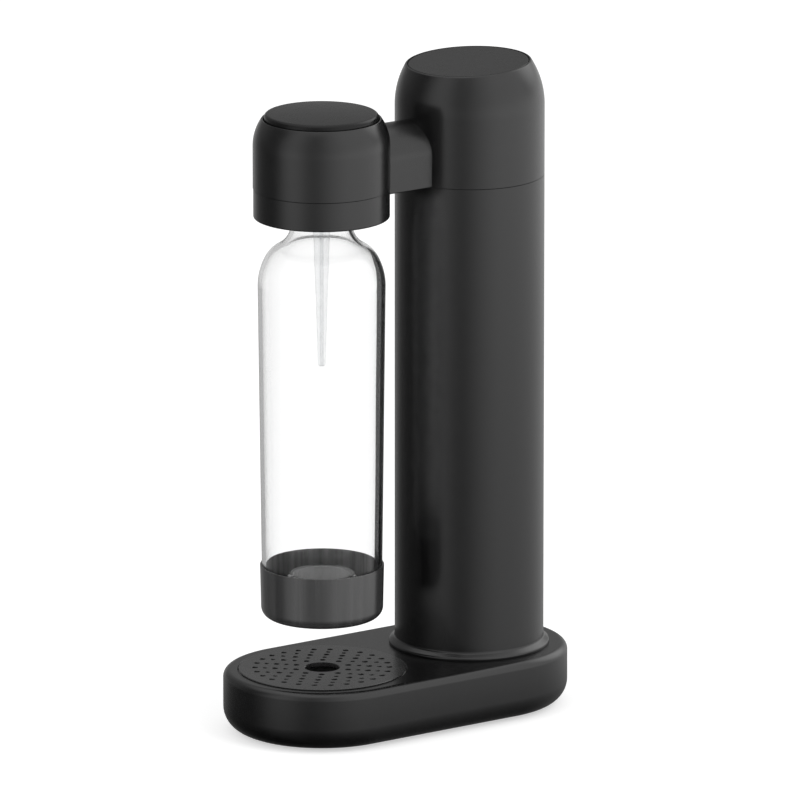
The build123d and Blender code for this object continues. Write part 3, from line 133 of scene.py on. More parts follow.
class NodeSheet:
    """A node tree with short calls to add nodes and join sockets."""

    def __init__(self, tree: bpy.types.NodeTree) -> None:
        """Start on an emptied tree."""
        self.tree = tree
        self.tree.nodes.clear()

    def add(self, kind: str, inputs: dict | None = None, **settings: object) -> bpy.types.Node:
        """Add a node.

        Args:
            kind: Blender's type name of the node.
            inputs: For each input's name or number, a value to set or an output socket to join.
            **settings: Attributes of the node, set before its inputs.

        Returns:
            The new node.
        """
        node = self.tree.nodes.new(kind)
        for key, value in settings.items():
            setattr(node, key, value)
        self.fill(node, inputs or {})
        return node

    def fill(self, node: bpy.types.Node, inputs: dict) -> None:
        """Feed several inputs of a node, each by its name or number."""
        for key, value in inputs.items():
            self.feed(node.inputs[key], value)

    def feed(self, socket: Socket, value: object) -> None:
        """Feed one input.

        Args:
            socket: The input socket.
            value: Output socket to join to it, or a value of its own.
        """
        if isinstance(value, bpy.types.NodeSocket):
            self.tree.links.new(value, socket)
        else:
            socket.default_value = value

    def math(self, operation: str, *values: object) -> Socket:
        """Add a Math node on values or sockets, and return its output."""
        return self.add("ShaderNodeMath", dict(enumerate(values)), operation=operation).outputs[0]

    def vector_math(self, operation: str, *values: object) -> bpy.types.NodeOutputs:
        """Add a Vector Math node on values or sockets, and return its outputs."""
        return self.add("ShaderNodeVectorMath", dict(enumerate(values)), operation=operation).outputs

    def split(self, vector: Socket) -> bpy.types.NodeOutputs:
        """Outputs X, Y and Z of a vector."""
        return self.add("ShaderNodeSeparateXYZ", {"Vector": vector}).outputs

    def vector(self, parts: dict[str, object]) -> Socket:
        """Vector of the parts given, with zero for the others."""
        return self.add("ShaderNodeCombineXYZ", parts).outputs[0]

    def noise(self, place: Socket, size: float, detail: float) -> Socket:
        """Factor of a noise whose features are about a size in millimetres."""
        inputs = {"Vector": place, "Scale": 1.0 / (size * MM), "Detail": detail}
        return self.add("ShaderNodeTexNoise", inputs).outputs["Fac"]

    def stretched(self, place: Socket, scale: Scale) -> Socket:
        """Coordinates scaled along their three axes."""
        return self.add("ShaderNodeMapping", {"Vector": place, "Scale": scale}).outputs["Vector"]

    def bump(self, height: Socket, strength: float, depth: float) -> Socket:
        """Normal of a surface bumped by a height, with a depth in millimetres."""
        inputs = {"Height": height, "Strength": strength, "Distance": depth * MM}
        return self.add("ShaderNodeBump", inputs).outputs["Normal"]

    def remap(self, value: Socket, source: Point, target: Point) -> Socket:
        """Value mapped from one range onto another."""
        ends = {"From Min": source[0], "From Max": source[1], "To Min": target[0], "To Max": target[1]}
        return self.add("ShaderNodeMapRange", {"Value": value, **ends}).outputs["Result"]

    def ramp(self, value: Socket, stops: Sequence[Point], curve: str) -> Socket:
        """Map a value through a ramp of greys.

        Args:
            value: Value from 0 to 1.
            stops: Place and level of each stop, with places between 0 and 1.
            curve: Blender's name of the curve from stop to stop.

        Returns:
            The grey.
        """
        node = self.add("ShaderNodeValToRGB", {"Fac": value})
        greys = node.color_ramp
        greys.interpolation = curve
        for place, level in stops:
            greys.elements.new(place).color = (level, level, level, 1.0)
        greys.elements.remove(greys.elements[0])
        greys.elements.remove(greys.elements[-1])
        return node.outputs["Color"]

    def blend(self, factor: Socket, first: object, second: object) -> Socket:
        """Number blended from a first value to a second by a factor."""
        inputs = {0: factor, 2: first, 3: second}
        return self.add("ShaderNodeMix", inputs, data_type="FLOAT").outputs[0]

    def mix(self, factor: Socket, first: Colour, second: Colour) -> Socket:
        """Mix two colours by a factor.

        Args:
            factor: Share of the second colour.
            first: First colour.
            second: Second colour.

        Returns:
            The mixed colour.
        """
        node = self.add("ShaderNodeMix", {0: factor}, data_type="RGBA")
        colours = [socket for socket in node.inputs if socket.type == "RGBA"]
        for socket, colour in zip(colours, (first, second)):
            self.feed(socket, (*colour, 1.0))
        return next(socket for socket in node.outputs if socket.type == "RGBA")

    def toward(self, direction: Socket, aim: Vector) -> Socket:
        """Cosine of the angle from a unit vector to a fixed direction."""
        return self.vector_math("DOT_PRODUCT", direction, tuple(aim))["Value"]


def new_surface(name: str) -> tuple[Material, NodeSheet, bpy.types.Node, Socket]:
    """Start a node material.

    Args:
        name: Name of the material.

    Returns:
        The material, its sheet, its surface shader and the piece's own coordinates.
    """
    material = bpy.data.materials.new(name)
    material.use_nodes = True
    sheet = NodeSheet(material.node_tree)
    shader = sheet.add("ShaderNodeBsdfPrincipled")
    sheet.add("ShaderNodeOutputMaterial", {"Surface": shader.outputs["BSDF"]})
    place = sheet.add("ShaderNodeTexCoord").outputs["Object"]
    return material, sheet, shader, place


def swing(middle: float, reach: float) -> Point:
    """Range that reaches equally far to both sides of a middle value."""
    return middle - reach, middle + reach


@dataclass(frozen=True)
class GrainedPlastic:
    """Moulded plastic with a fine grain and a faint cloudiness."""

    name: str
    dark: Colour
    light: Colour
    roughness: float
    roughness_swing: float = 0.02
    specular: float = 0.5
    grain: float = 0.5
    grain_detail: float = 3.0
    grain_range: Point = (0.35, 0.7)
    grain_share: float = 0.6
    grain_depth: float = 0.02
    grain_strength: float = 0.6
    cloud: float = 6.0
    cloud_detail: float = 5.0

    def material(self) -> Material:
        """Build the material's nodes.

        Returns:
            The material.
        """
        material, sheet, shader, place = new_surface(self.name)
        fine = sheet.noise(place, self.grain, self.grain_detail)
        broad = sheet.noise(place, self.cloud, self.cloud_detail)
        speckle = sheet.remap(fine, self.grain_range, UNIT)
        cloudy = sheet.math("MULTIPLY", sheet.remap(broad, NOISE_MIDDLE, UNIT), 1.0 - self.grain_share)
        tone = sheet.math("MULTIPLY_ADD", speckle, self.grain_share, cloudy)
        roughness = sheet.remap(broad, NOISE_MIDDLE, swing(self.roughness, self.roughness_swing))
        sheet.fill(
            shader,
            {
                "Base Color": sheet.mix(tone, self.dark, self.light),
                "Roughness": roughness,
                "Specular IOR Level": self.specular,
                "Normal": sheet.bump(fine, self.grain_strength, self.grain_depth),
            },
        )
        return material


@dataclass(frozen=True)
class TurnedMetal:
    """Metal with fine lathe or brush lines round the upright axis."""

    name: str
    dark: Colour
    light: Colour
    roughness: float
    roughness_swing: float = 0.06
    line: float = 0.4
    line_stretch: Scale = (0.06, 0.06, 1.0)
    line_depth: float = 0.01
    line_strength: float = 0.3
    stain: float = 9.0
    detail: float = 4.0

    def material(self) -> Material:
        """Build the material's nodes.

        Returns:
            The material.
        """
        material, sheet, shader, place = new_surface(self.name)
        lines = sheet.noise(sheet.stretched(place, self.line_stretch), self.line, self.detail)
        stain = sheet.noise(place, self.stain, self.detail)
        tone = sheet.remap(sheet.math("ADD", lines, stain), NOISE_PAIR, UNIT)
        sheet.fill(
            shader,
            {
                "Base Color": sheet.mix(tone, self.dark, self.light),
                "Roughness": sheet.remap(lines, NOISE_MIDDLE, swing(self.roughness, self.roughness_swing)),
                "Metallic": 1.0,
                "Normal": sheet.bump(lines, self.line_strength, self.line_depth),
            },
        )
        return material


@dataclass(frozen=True)
class SatinLacquer:
    """Satin dark lacquer over metal, with faint upright brush streaks."""

    name: str
    dark: Colour
    light: Colour
    roughness: float
    roughness_swing: float = 0.03
    ior: float = 1.68
    specular: float = 1.0
    streak: float = 5.0
    streak_stretch: Scale = (1.0, 1.0, 0.02)
    streak_detail: float = 3.0
    streak_range: Point = (0.32, 0.68)
    grain: float = 0.35
    grain_detail: float = 2.0

    def material(self) -> Material:
        """Build the material's nodes.

        Returns:
            The material.
        """
        material, sheet, shader, place = new_surface(self.name)
        streaks = sheet.noise(sheet.stretched(place, self.streak_stretch), self.streak, self.streak_detail)
        fine = sheet.noise(place, self.grain, self.grain_detail)
        tone = sheet.remap(streaks, self.streak_range, UNIT)
        rough = sheet.remap(sheet.math("ADD", streaks, fine), NOISE_PAIR, swing(0.0, self.roughness_swing))
        sheet.fill(
            shader,
            {
                "Base Color": sheet.mix(tone, self.dark, self.light),
                "Roughness": sheet.math("ADD", rough, self.roughness),
                "IOR": self.ior,
                "Specular IOR Level": self.specular,
            },
        )
        return material


@dataclass(frozen=True)
class ClearPlastic:
    """Clear polished plastic with faint upright draw lines."""

    name: str
    tint: Colour
    haze: Colour
    haze_roughness: float = 0.02
    ior: float = 1.46
    streak: float = 7.0
    streak_stretch: Scale = (1.0, 1.0, 0.05)
    streak_detail: float = 2.0
    streak_range: Point = (0.35, 0.65)
    streak_depth: float = 0.05
    streak_strength: float = 0.25

    def material(self) -> Material:
        """Build the material's nodes.

        Returns:
            The material.
        """
        material, sheet, shader, place = new_surface(self.name)
        streaks = sheet.noise(sheet.stretched(place, self.streak_stretch), self.streak, self.streak_detail)
        sheet.fill(
            shader,
            {
                "Base Color": sheet.mix(streaks, self.tint, self.haze),
                "Roughness": sheet.remap(streaks, self.streak_range, (0.0, self.haze_roughness)),
                "Transmission Weight": 1.0,
                "IOR": self.ior,
                "Normal": sheet.bump(streaks, self.streak_strength, self.streak_depth),
            },
        )
        return material


@dataclass(frozen=True)
class MilkyPlastic:
    """Pale plastic that lets some light through."""

    name: str
    dark: Colour
    light: Colour
    roughness: float
    glow: float
    ior: float
    roughness_swing: float = 0.05
    cloud: float = 4.0
    cloud_detail: float = 4.0
    grain: float = 0.4
    grain_detail: float = 2.0

    def material(self) -> Material:
        """Build the material's nodes.

        Returns:
            The material.
        """
        material, sheet, shader, place = new_surface(self.name)
        cloudy = sheet.remap(sheet.noise(place, self.cloud, self.cloud_detail), NOISE_MIDDLE, UNIT)
        fine = sheet.noise(place, self.grain, self.grain_detail)
        sheet.fill(
            shader,
            {
                "Base Color": sheet.mix(cloudy, self.dark, self.light),
                "Roughness": sheet.remap(fine, NOISE_MIDDLE, swing(self.roughness, self.roughness_swing)),
                "Transmission Weight": self.glow,
                "IOR": self.ior,
            },
        )
        return material


FINISHES: dict[Slot, GrainedPlastic | SatinLacquer | TurnedMetal | ClearPlastic | MilkyPlastic] = {
    Slot.BLACK_BODY: GrainedPlastic(
        "matte_black_moulding",
        (0.0032, 0.0032, 0.0033),
        (0.0068, 0.0068, 0.007),
        roughness=0.25,
        specular=1.0,
    ),
    Slot.BLACK_CAP: GrainedPlastic(
        "matte_black_lid", (0.0036, 0.0036, 0.0037), (0.0074, 0.0074, 0.0076), roughness=0.26, specular=0.4
    ),
    Slot.TRAY_BLACK: GrainedPlastic(
        "matte_black_tray", (0.022, 0.022, 0.0222), (0.04, 0.04, 0.0404), roughness=0.27, specular=1.0
    ),
    Slot.CUP_SATIN: SatinLacquer(
        "satin_anthracite", (0.034, 0.034, 0.0345), (0.058, 0.058, 0.0585), roughness=0.22
    ),
    Slot.CLEAR_BOTTLE: ClearPlastic("clear_bottle_wall", (1.0, 1.0, 1.0), (0.993, 0.996, 0.996)),
    Slot.NOZZLE_GREY: MilkyPlastic(
        "milky_tube", (0.9, 0.905, 0.91), (0.96, 0.965, 0.97), roughness=0.25, glow=0.92, ior=1.07
    ),
    Slot.INNER_PLASTIC: GrainedPlastic(
        "plain_inner_moulding", (0.02, 0.02, 0.021), (0.035, 0.035, 0.036), roughness=0.5, grain=0.7
    ),
    Slot.STEEL: TurnedMetal("plain_steel", (0.46, 0.46, 0.47), (0.62, 0.62, 0.63), roughness=0.32),
    Slot.BRASS: TurnedMetal("machined_brass", (0.58, 0.42, 0.2), (0.76, 0.58, 0.3), roughness=0.28),
    Slot.CYLINDER_ALLOY: TurnedMetal("satin_alloy", (0.5, 0.51, 0.53), (0.66, 0.67, 0.69), roughness=0.36),
    Slot.RUBBER: GrainedPlastic(
        "soft_black_rubber",
        (0.012, 0.012, 0.012),
        (0.03, 0.03, 0.03),
        roughness=0.78,
        specular=0.3,
        grain=0.8,
    ),
}
# Painted light: a brighter copy of the cup's satin finish for the inside of its wall, standing in for the
# light that falls there.
CUP_LINING_PAINTED_LIGHT = SatinLacquer("brushed_cup_lining", (0.1, 0.1, 0.101), (0.36, 0.36, 0.362), roughness=0.24)
# Painted light: the bowl under the tray's plate lies in shade, so its grey is lifted to show light there.
BOWL_PAINTED_LIGHT = GrainedPlastic("grey_tray_bowl", (0.3, 0.3, 0.302), (0.38, 0.38, 0.382), roughness=0.5)


class FinishBook:
    """Makes each finish once, when it is first asked for."""

    def __init__(self) -> None:
        """Start with no materials made."""
        self.made: dict[Slot, Material] = {}

    def get(self, slot: Slot) -> Material:
        """Material of a slot, made on its first use.

        Args:
            slot: Material slot of the record.

        Returns:
            The material.
        """
        if slot not in self.made:
            self.made[slot] = FINISHES[slot].material()
        return self.made[slot]


def arc(centre: Point, radius: float, start: float, sweep: float, steps: int) -> list[Point]:
    """Points along an arc of a half section.

    Args:
        centre: Middle of the arc, as radius and height.
        radius: Radius of the arc.
        start: Angle of its first point, in degrees from the radius axis.
        sweep: Angle that it covers, in degrees.
        steps: Number of straight steps.

    Returns:
        The points, both ends included.
    """
    angles = [math.radians(start + sweep * step / steps) for step in range(steps + 1)]
    return [(centre[0] + radius * math.cos(a), centre[1] + radius * math.sin(a)) for a in angles]


def soften(corners: Sequence[Corner], steps: int = 6) -> list[Point]:
    """Round the corners of an open line.

    Args:
        corners: Points of the line, each with the radius of its round.
        steps: Straight steps in each round.

    Returns:
        The line with its rounds.
    """
    line = [Vector(corner[:2]) for corner in corners]
    points = [tuple(line[0])]
    for before, here, after, corner in zip(line, line[1:], line[2:], corners[1:]):
        radius = corner[2]
        if radius == 0.0:
            points.append(tuple(here))
            continue
        back = (before - here).normalized()
        ahead = (after - here).normalized()
        half = back.angle(ahead) / 2
        reach = radius / math.tan(half)
        centre = here + (back + ahead).normalized() * (radius / math.sin(half))
        spoke = here + back * reach - centre
        turn = (here + ahead * reach - centre).angle_signed(spoke)
        for step in range(steps + 1):
            rotated = spoke.copy()
            rotated.rotate(Matrix.Rotation(turn * step / steps, 2))
            points.append(tuple(centre + rotated))
    points.append(tuple(line[-1]))
    return points


def polar(axis: Vector, radius: float, angle: float, height: float) -> Vector:
    """Point at a radius, angle and height about an upright axis."""
    return axis + Vector((radius * math.cos(angle), radius * math.sin(angle), height))


def mesh_from(shape: bmesh.types.BMesh, name: str) -> Mesh:
    """Turn a working shape into a mesh.

    Args:
        shape: Working shape, which is freed.
        name: Name of the mesh.

    Returns:
        The mesh.
    """
    mesh = bpy.data.meshes.new(name)
    shape.to_mesh(mesh)
    shape.free()
    return mesh


def tidy(mesh: Mesh) -> Mesh:
    """Merge a closed mesh's doubles and turn its faces outwards.

    Args:
        mesh: Mesh to change.

    Returns:
        The same mesh.
    """
    shape = bmesh.new()
    shape.from_mesh(mesh)
    bmesh.ops.remove_doubles(shape, verts=shape.verts, dist=DOUBLES * MM)
    bmesh.ops.recalc_face_normals(shape, faces=shape.faces)
    shape.to_mesh(mesh)
    shape.free()
    return mesh


def evaluated_mesh(holder: bpy.types.Object) -> Mesh:
    """Turn an object's live modifiers into a plain mesh.

    Args:
        holder: Object with modifiers. It is removed with its old mesh.

    Returns:
        The plain mesh.
    """
    graph = bpy.context.evaluated_depsgraph_get()
    mesh = bpy.data.meshes.new_from_object(holder.evaluated_get(graph), depsgraph=graph)
    old = holder.data
    bpy.data.objects.remove(holder)
    bpy.data.meshes.remove(old)
    return mesh


def linked_object(name: str, mesh: Mesh) -> bpy.types.Object:
    """Put a mesh into the scene as an object at the origin.

    Args:
        name: Name of the object.
        mesh: Its mesh.

    Returns:
        The object.
    """
    holder = bpy.data.objects.new(name, mesh)
    bpy.context.scene.collection.objects.link(holder)
    return holder


class NodeTool:
    """A Geometry Nodes tree with named inputs, run on a mesh through a modifier."""

    def __init__(self, name: str, inputs: dict[str, Kind]) -> None:
        """Start a tree.

        Args:
            name: Name of the tree.
            inputs: For each input after the geometry, its socket type.
        """
        self.tree = bpy.data.node_groups.new(name, "GeometryNodeTree")
        self.sheet = NodeSheet(self.tree)
        self.tree.interface.new_socket("Geometry", in_out="INPUT", socket_type="NodeSocketGeometry")
        self.tree.interface.new_socket("Geometry", in_out="OUTPUT", socket_type="NodeSocketGeometry")
        self.keys: dict[str, str] = {}
        for label, kind in inputs.items():
            socket = self.tree.interface.new_socket(label, in_out="INPUT", socket_type=kind.value)
            self.keys[label] = socket.identifier
        self.given = self.sheet.add("NodeGroupInput").outputs

    def realized(self, geometry: Socket) -> Socket:
        """Geometry with its instances made real."""
        return self.sheet.add("GeometryNodeRealizeInstances", {"Geometry": geometry}).outputs[0]

    def welded(self, geometry: Socket) -> Socket:
        """Geometry whose doubled points are merged."""
        inputs = {"Geometry": geometry, "Distance": WELD * MM}
        return self.sheet.add("GeometryNodeMergeByDistance", inputs).outputs[0]

    def instanced(self, points: Socket, shape: Socket) -> Socket:
        """Instances of a shape on points."""
        inputs = {"Points": points, "Instance": shape}
        return self.sheet.add("GeometryNodeInstanceOnPoints", inputs).outputs[0]

    def circle(self, radius: object, steps: object) -> Socket:
        """Curve circle of a radius with a number of steps."""
        inputs = {"Resolution": steps, "Radius": radius}
        return self.sheet.add("GeometryNodeCurvePrimitiveCircle", inputs).outputs["Curve"]

    def transformed(self, geometry: Socket, place: Socket, turn: Socket | None = None) -> Socket:
        """Turn a geometry about the origin and then move it.

        Args:
            geometry: The geometry.
            place: Where its origin goes.
            turn: Angles about the three axes, where it is turned.

        Returns:
            The moved geometry.
        """
        inputs = {"Geometry": geometry, "Translation": place}
        if turn is not None:
            inputs["Rotation"] = turn
        return self.sheet.add("GeometryNodeTransform", inputs).outputs[0]

    def close(self, geometry: Socket) -> None:
        """End the tree in Realize Instances and Set Material.

        Args:
            geometry: What the tree has made.
        """
        inputs = {"Geometry": self.realized(geometry), "Material": self.given["Material"]}
        painted = self.sheet.add("GeometryNodeSetMaterial", inputs)
        self.sheet.add("NodeGroupOutput", {"Geometry": painted.outputs[0]})

    def attach(self, holder: bpy.types.Object, values: dict[str, object]) -> None:
        """Add the tree to an object as a modifier.

        Args:
            holder: Object that carries the input geometry.
            values: For each named input, its value.
        """
        modifier = holder.modifiers.new(self.tree.name, "NODES")
        modifier.node_group = self.tree
        for label, value in values.items():
            modifier[self.keys[label]] = value


class Lathe(NodeTool):
    """Turns a half section into a closed shell round an upright axis."""

    def __init__(self) -> None:
        """Build the tree: a grid whose rows take their place from the half section's points."""
        inputs = {"Segments": Kind.COUNT, "Axis": Kind.PLACE, "Material": Kind.FINISH}
        super().__init__("turned_shell", inputs)
        sheet = self.sheet
        section = self.given["Geometry"]
        count = sheet.add("GeometryNodeAttributeDomainSize", {"Geometry": section}).outputs["Point Count"]
        columns = sheet.math("ADD", self.given["Segments"], 1.0)
        sizes = {"Size X": 1.0, "Size Y": 1.0, "Vertices X": columns, "Vertices Y": count}
        grid = sheet.add("GeometryNodeMeshGrid", sizes).outputs["Mesh"]
        place = sheet.add("GeometryNodeInputPosition").outputs[0]
        across = sheet.split(place)
        turn = sheet.math("MULTIPLY", sheet.math("ADD", across["X"], 0.5), math.tau)
        last_row = sheet.math("SUBTRACT", count, 1.0)
        row = sheet.math("ROUND", sheet.math("MULTIPLY", sheet.math("ADD", across["Y"], 0.5), last_row))
        sample = sheet.add(
            "GeometryNodeSampleIndex",
            {"Geometry": section, "Value": place, "Index": row},
            data_type="FLOAT_VECTOR",
            domain="POINT",
        )
        half = sheet.split(sample.outputs["Value"])
        east = sheet.math("MULTIPLY", half["X"], sheet.math("COSINE", turn))
        north = sheet.math("MULTIPLY", half["X"], sheet.math("SINE", turn))
        spot = sheet.vector({"X": east, "Y": north, "Z": half["Z"]})
        moved = sheet.vector_math("ADD", spot, self.given["Axis"])[0]
        bent = sheet.add("GeometryNodeSetPosition", {"Geometry": grid, "Position": moved})
        self.close(self.welded(bent.outputs[0]))

    def turn(
        self, section: Sequence[Point], axis: Vector, material: Material, segments: int = 160
    ) -> Mesh:
        """Turn a half section.

        Args:
            section: Points of the half section in millimetres, as radius and height.
            axis: Place of the upright axis, in millimetres.
            material: Finish of the shell.
            segments: Steps round the axis.

        Returns:
            The closed shell.
        """
        line = bpy.data.meshes.new("half_section")
        line.from_pydata([(radius * MM, 0.0, height * MM) for radius, height in section], [], [])
        holder = linked_object("lathe_work", line)
        self.attach(holder, {"Segments": segments, "Axis": axis * MM, "Material": material})
        return tidy(evaluated_mesh(holder))


class Perforator(NodeTool):
    """Fills a round plate's flat faces, with rings of chamfered holes through it."""

    HOLE_STEPS = 28
    COUNTS = ("Segments", "First Holes", "More Holes")
    LENGTHS = (
        *("First Radius", "Ring Step", "Large Hole", "Small Hole", "Chamfer"),
        *("Underside", "Top", "Rim Below", "Rim Above", "Drain Below", "Drain Above"),
    )

    def __init__(self, rings: int) -> None:
        """Build the tree: filled curves above and below, joined by the holes' linings and the given edges.

        Args:
            rings: Number of rings of holes.
        """
        inputs = {
            **dict.fromkeys(self.COUNTS, Kind.COUNT),
            **dict.fromkeys(self.LENGTHS, Kind.NUMBER),
            "Centre": Kind.PLACE,
            "Material": Kind.FINISH,
        }
        super().__init__("perforated_plate", inputs)
        given = self.given
        spots = [self.ring_spots(ring) for ring in range(rings)]
        holes = [given["Small Hole"] if ring % 2 else given["Large Hole"] for ring in range(rings)]
        wide = [self.sheet.math("ADD", hole, given["Chamfer"]) for hole in holes]
        below = self.face(spots, holes, given["Rim Below"], given["Drain Below"], given["Underside"])
        above = self.face(spots, wide, given["Rim Above"], given["Drain Above"], given["Top"])
        linings = [self.linings(*ring) for ring in zip(spots, holes, wide)]
        self.close(self.welded(self.join([given["Geometry"], below, above, *linings])))

    def join(self, parts: Sequence[Socket]) -> Socket:
        """Join geometries.

        Args:
            parts: The geometries.

        Returns:
            All of them, with their instances made real.
        """
        joined = self.sheet.add("GeometryNodeJoinGeometry")
        for part in parts:
            self.sheet.feed(joined.inputs[0], part)
        return self.realized(joined.outputs[0])

    def moved(self, geometry: Socket, height: object, turn: object = 0.0) -> Socket:
        """Turn a geometry about the plate's axis and lift it.

        Args:
            geometry: Geometry about the origin.
            height: Lift, as a value or socket.
            turn: Angle in radians, as a value or socket.

        Returns:
            The moved geometry.
        """
        lift = self.sheet.vector({"Z": height})
        return self.transformed(geometry, lift, self.sheet.vector({"Z": turn}))

    def placed(self, geometry: Socket) -> Socket:
        """Geometry moved from the origin to the plate's axis."""
        return self.transformed(geometry, self.given["Centre"])

    def ring_value(self, first: str, step: str, ring: int) -> Socket:
        """Value of a ring, from the inputs that give the first ring's value and the step."""
        grown = self.sheet.math("MULTIPLY", self.given[step], float(ring))
        return self.sheet.math("ADD", grown, self.given[first])

    def ring_spots(self, ring: int) -> Socket:
        """Points of one ring of holes, each second ring turned by half a step.

        Args:
            ring: Number of the ring, from 0.

        Returns:
            The points.
        """
        count = self.ring_value("First Holes", "More Holes", ring)
        radius = self.ring_value("First Radius", "Ring Step", ring)
        points = self.sheet.add("GeometryNodeMeshCircle", {"Vertices": count, "Radius": radius})
        half_step = self.sheet.math("DIVIDE", math.pi * (ring % 2), count)
        return self.moved(points.outputs[0], 0.0, half_step)

    def face(
        self, spots: Sequence[Socket], holes: Sequence[Socket], rim: Socket, drain: Socket, height: Socket
    ) -> Socket:
        """Fill one flat face of the plate.

        Args:
            spots: Points of each ring of holes.
            holes: Hole radius of each ring.
            rim: Radius of the face's outer edge.
            drain: Radius of the drain's edge.
            height: Height of the face.

        Returns:
            The filled face.
        """
        outlines = [self.circle(rim, self.given["Segments"]), self.circle(drain, self.given["Segments"])]
        for points, radius in zip(spots, holes):
            outlines.append(self.instanced(points, self.circle(radius, self.HOLE_STEPS)))
        filled = self.sheet.add("GeometryNodeFillCurve", {"Curve": self.join(outlines)}, mode="TRIANGLES")
        return self.placed(self.moved(filled.outputs[0], height))

    def cone(self, top: Socket, bottom: Socket, depth: Socket) -> Socket:
        """Open cone with as many steps as a hole."""
        inputs = {"Vertices": self.HOLE_STEPS, "Radius Top": top, "Radius Bottom": bottom, "Depth": depth}
        return self.sheet.add("GeometryNodeMeshCone", inputs, fill_type="NONE").outputs["Mesh"]

    def linings(self, spots: Socket, hole: Socket, wide: Socket) -> Socket:
        """Line the holes of one ring.

        Args:
            spots: Points of the ring.
            hole: Radius of its holes.
            wide: Radius of their chamfers at the top.

        Returns:
            The linings.
        """
        given = self.given
        neck = self.sheet.math("SUBTRACT", given["Top"], given["Chamfer"])
        chamfer = self.cone(wide, hole, given["Chamfer"])
        tube = self.cone(hole, hole, self.sheet.math("SUBTRACT", neck, given["Underside"]))
        lining = self.join([self.moved(chamfer, neck), self.moved(tube, given["Underside"])])
        return self.placed(self.instanced(spots, lining))


class ScrewSetter(NodeTool):
    """Sets a modelled screw on each point of a mesh."""

    def __init__(self) -> None:
        """Build the tree: the screw's own object, instanced on points."""
        super().__init__("screw_set", {"Screw": Kind.OBJECT, "Material": Kind.FINISH})
        screw = self.sheet.add("GeometryNodeObjectInfo", {"Object": self.given["Screw"]})
        self.close(self.instanced(self.given["Geometry"], screw.outputs["Geometry"]))


class CoilWinder(NodeTool):
    """Winds round wire into a coil spring."""

    TURN_STEPS = 40
    WIRE_STEPS = 12
    NUMBERS = ("Turns", "Coil Radius", "Climb", "Wire Radius", "Lean")

    def __init__(self) -> None:
        """Build the tree: a round section swept along a spiral, then leant over and put in place."""
        numbers = dict.fromkeys(self.NUMBERS, Kind.NUMBER)
        super().__init__("coil_spring", {**numbers, "Foot": Kind.PLACE, "Material": Kind.FINISH})
        sheet, given = self.sheet, self.given
        spiral = {
            "Resolution": self.TURN_STEPS,
            "Rotations": given["Turns"],
            "Start Radius": given["Coil Radius"],
            "End Radius": given["Coil Radius"],
            "Height": given["Climb"],
        }
        line = sheet.add("GeometryNodeCurveSpiral", spiral).outputs[0]
        wire = self.circle(given["Wire Radius"], self.WIRE_STEPS)
        sweep = {"Curve": line, "Profile Curve": wire, "Fill Caps": True}
        coil = sheet.add("GeometryNodeCurveToMesh", sweep).outputs[0]
        self.close(self.transformed(coil, given["Foot"], sheet.vector({"X": given["Lean"]})))


def ring_shell(
    section_at: Callable[[float], Sequence[Vector]], segments: int = 192, closed: bool = True
) -> Mesh:
    """Build a round shell whose section changes with the angle.

    Args:
        section_at: Gives the section's points in millimetres for an angle in radians.
        segments: Steps round the axis.
        closed: Whether the section's last point joins its first.

    Returns:
        The closed shell.
    """
    sections = [section_at(math.tau * step / segments) for step in range(segments)]
    rows = len(sections[0])
    points = [tuple(point * MM) for section in sections for point in section]
    faces = []
    for step in range(segments):
        here = step * rows
        ahead = (step + 1) % segments * rows
        for row in range(rows if closed else rows - 1):
            above = (row + 1) % rows
            faces.append((here + row, ahead + row, ahead + above, here + above))
    mesh = bpy.data.meshes.new("ring_shell")
    mesh.from_pydata(points, [], faces)
    return tidy(mesh)


class SkinWork:
    """A shape in the making, skinned over rings of points."""

    def __init__(self) -> None:
        """Start with an empty shape."""
        self.shape = bmesh.new()

    def ring(self, points: Sequence[Vector]) -> list[bmesh.types.BMVert]:
        """Add a closed ring.

        Args:
            points: Its points, in millimetres.

        Returns:
            The ring.
        """
        ring = [self.shape.verts.new(point * MM) for point in points]
        for first, second in zip(ring, ring[1:] + ring[:1]):
            self.shape.edges.new((first, second))
        return ring

    def skin(self, rings: Sequence[list[bmesh.types.BMVert]]) -> None:
        """Join neighbouring rings with quads.

        Args:
            rings: Rings of the same number of points, in order.
        """
        for lower, upper in zip(rings, rings[1:]):
            count = len(lower)
            for index in range(count):
                ahead = (index + 1) % count
                self.shape.faces.new((lower[index], lower[ahead], upper[ahead], upper[index]))

    def cap(self, *rings: list[bmesh.types.BMVert]) -> None:
        """Fill the flat face between rings.

        Args:
            *rings: The outer ring and those of its holes.
        """
        edges = []
        for ring in rings:
            edges.extend(self.shape.edges.get(pair) for pair in zip(ring, ring[1:] + ring[:1]))
        bmesh.ops.triangle_fill(self.shape, use_beauty=True, use_dissolve=False, edges=edges)

    def mesh(self, name: str) -> Mesh:
        """End the work and return its closed mesh."""
        return tidy(mesh_from(self.shape, name))


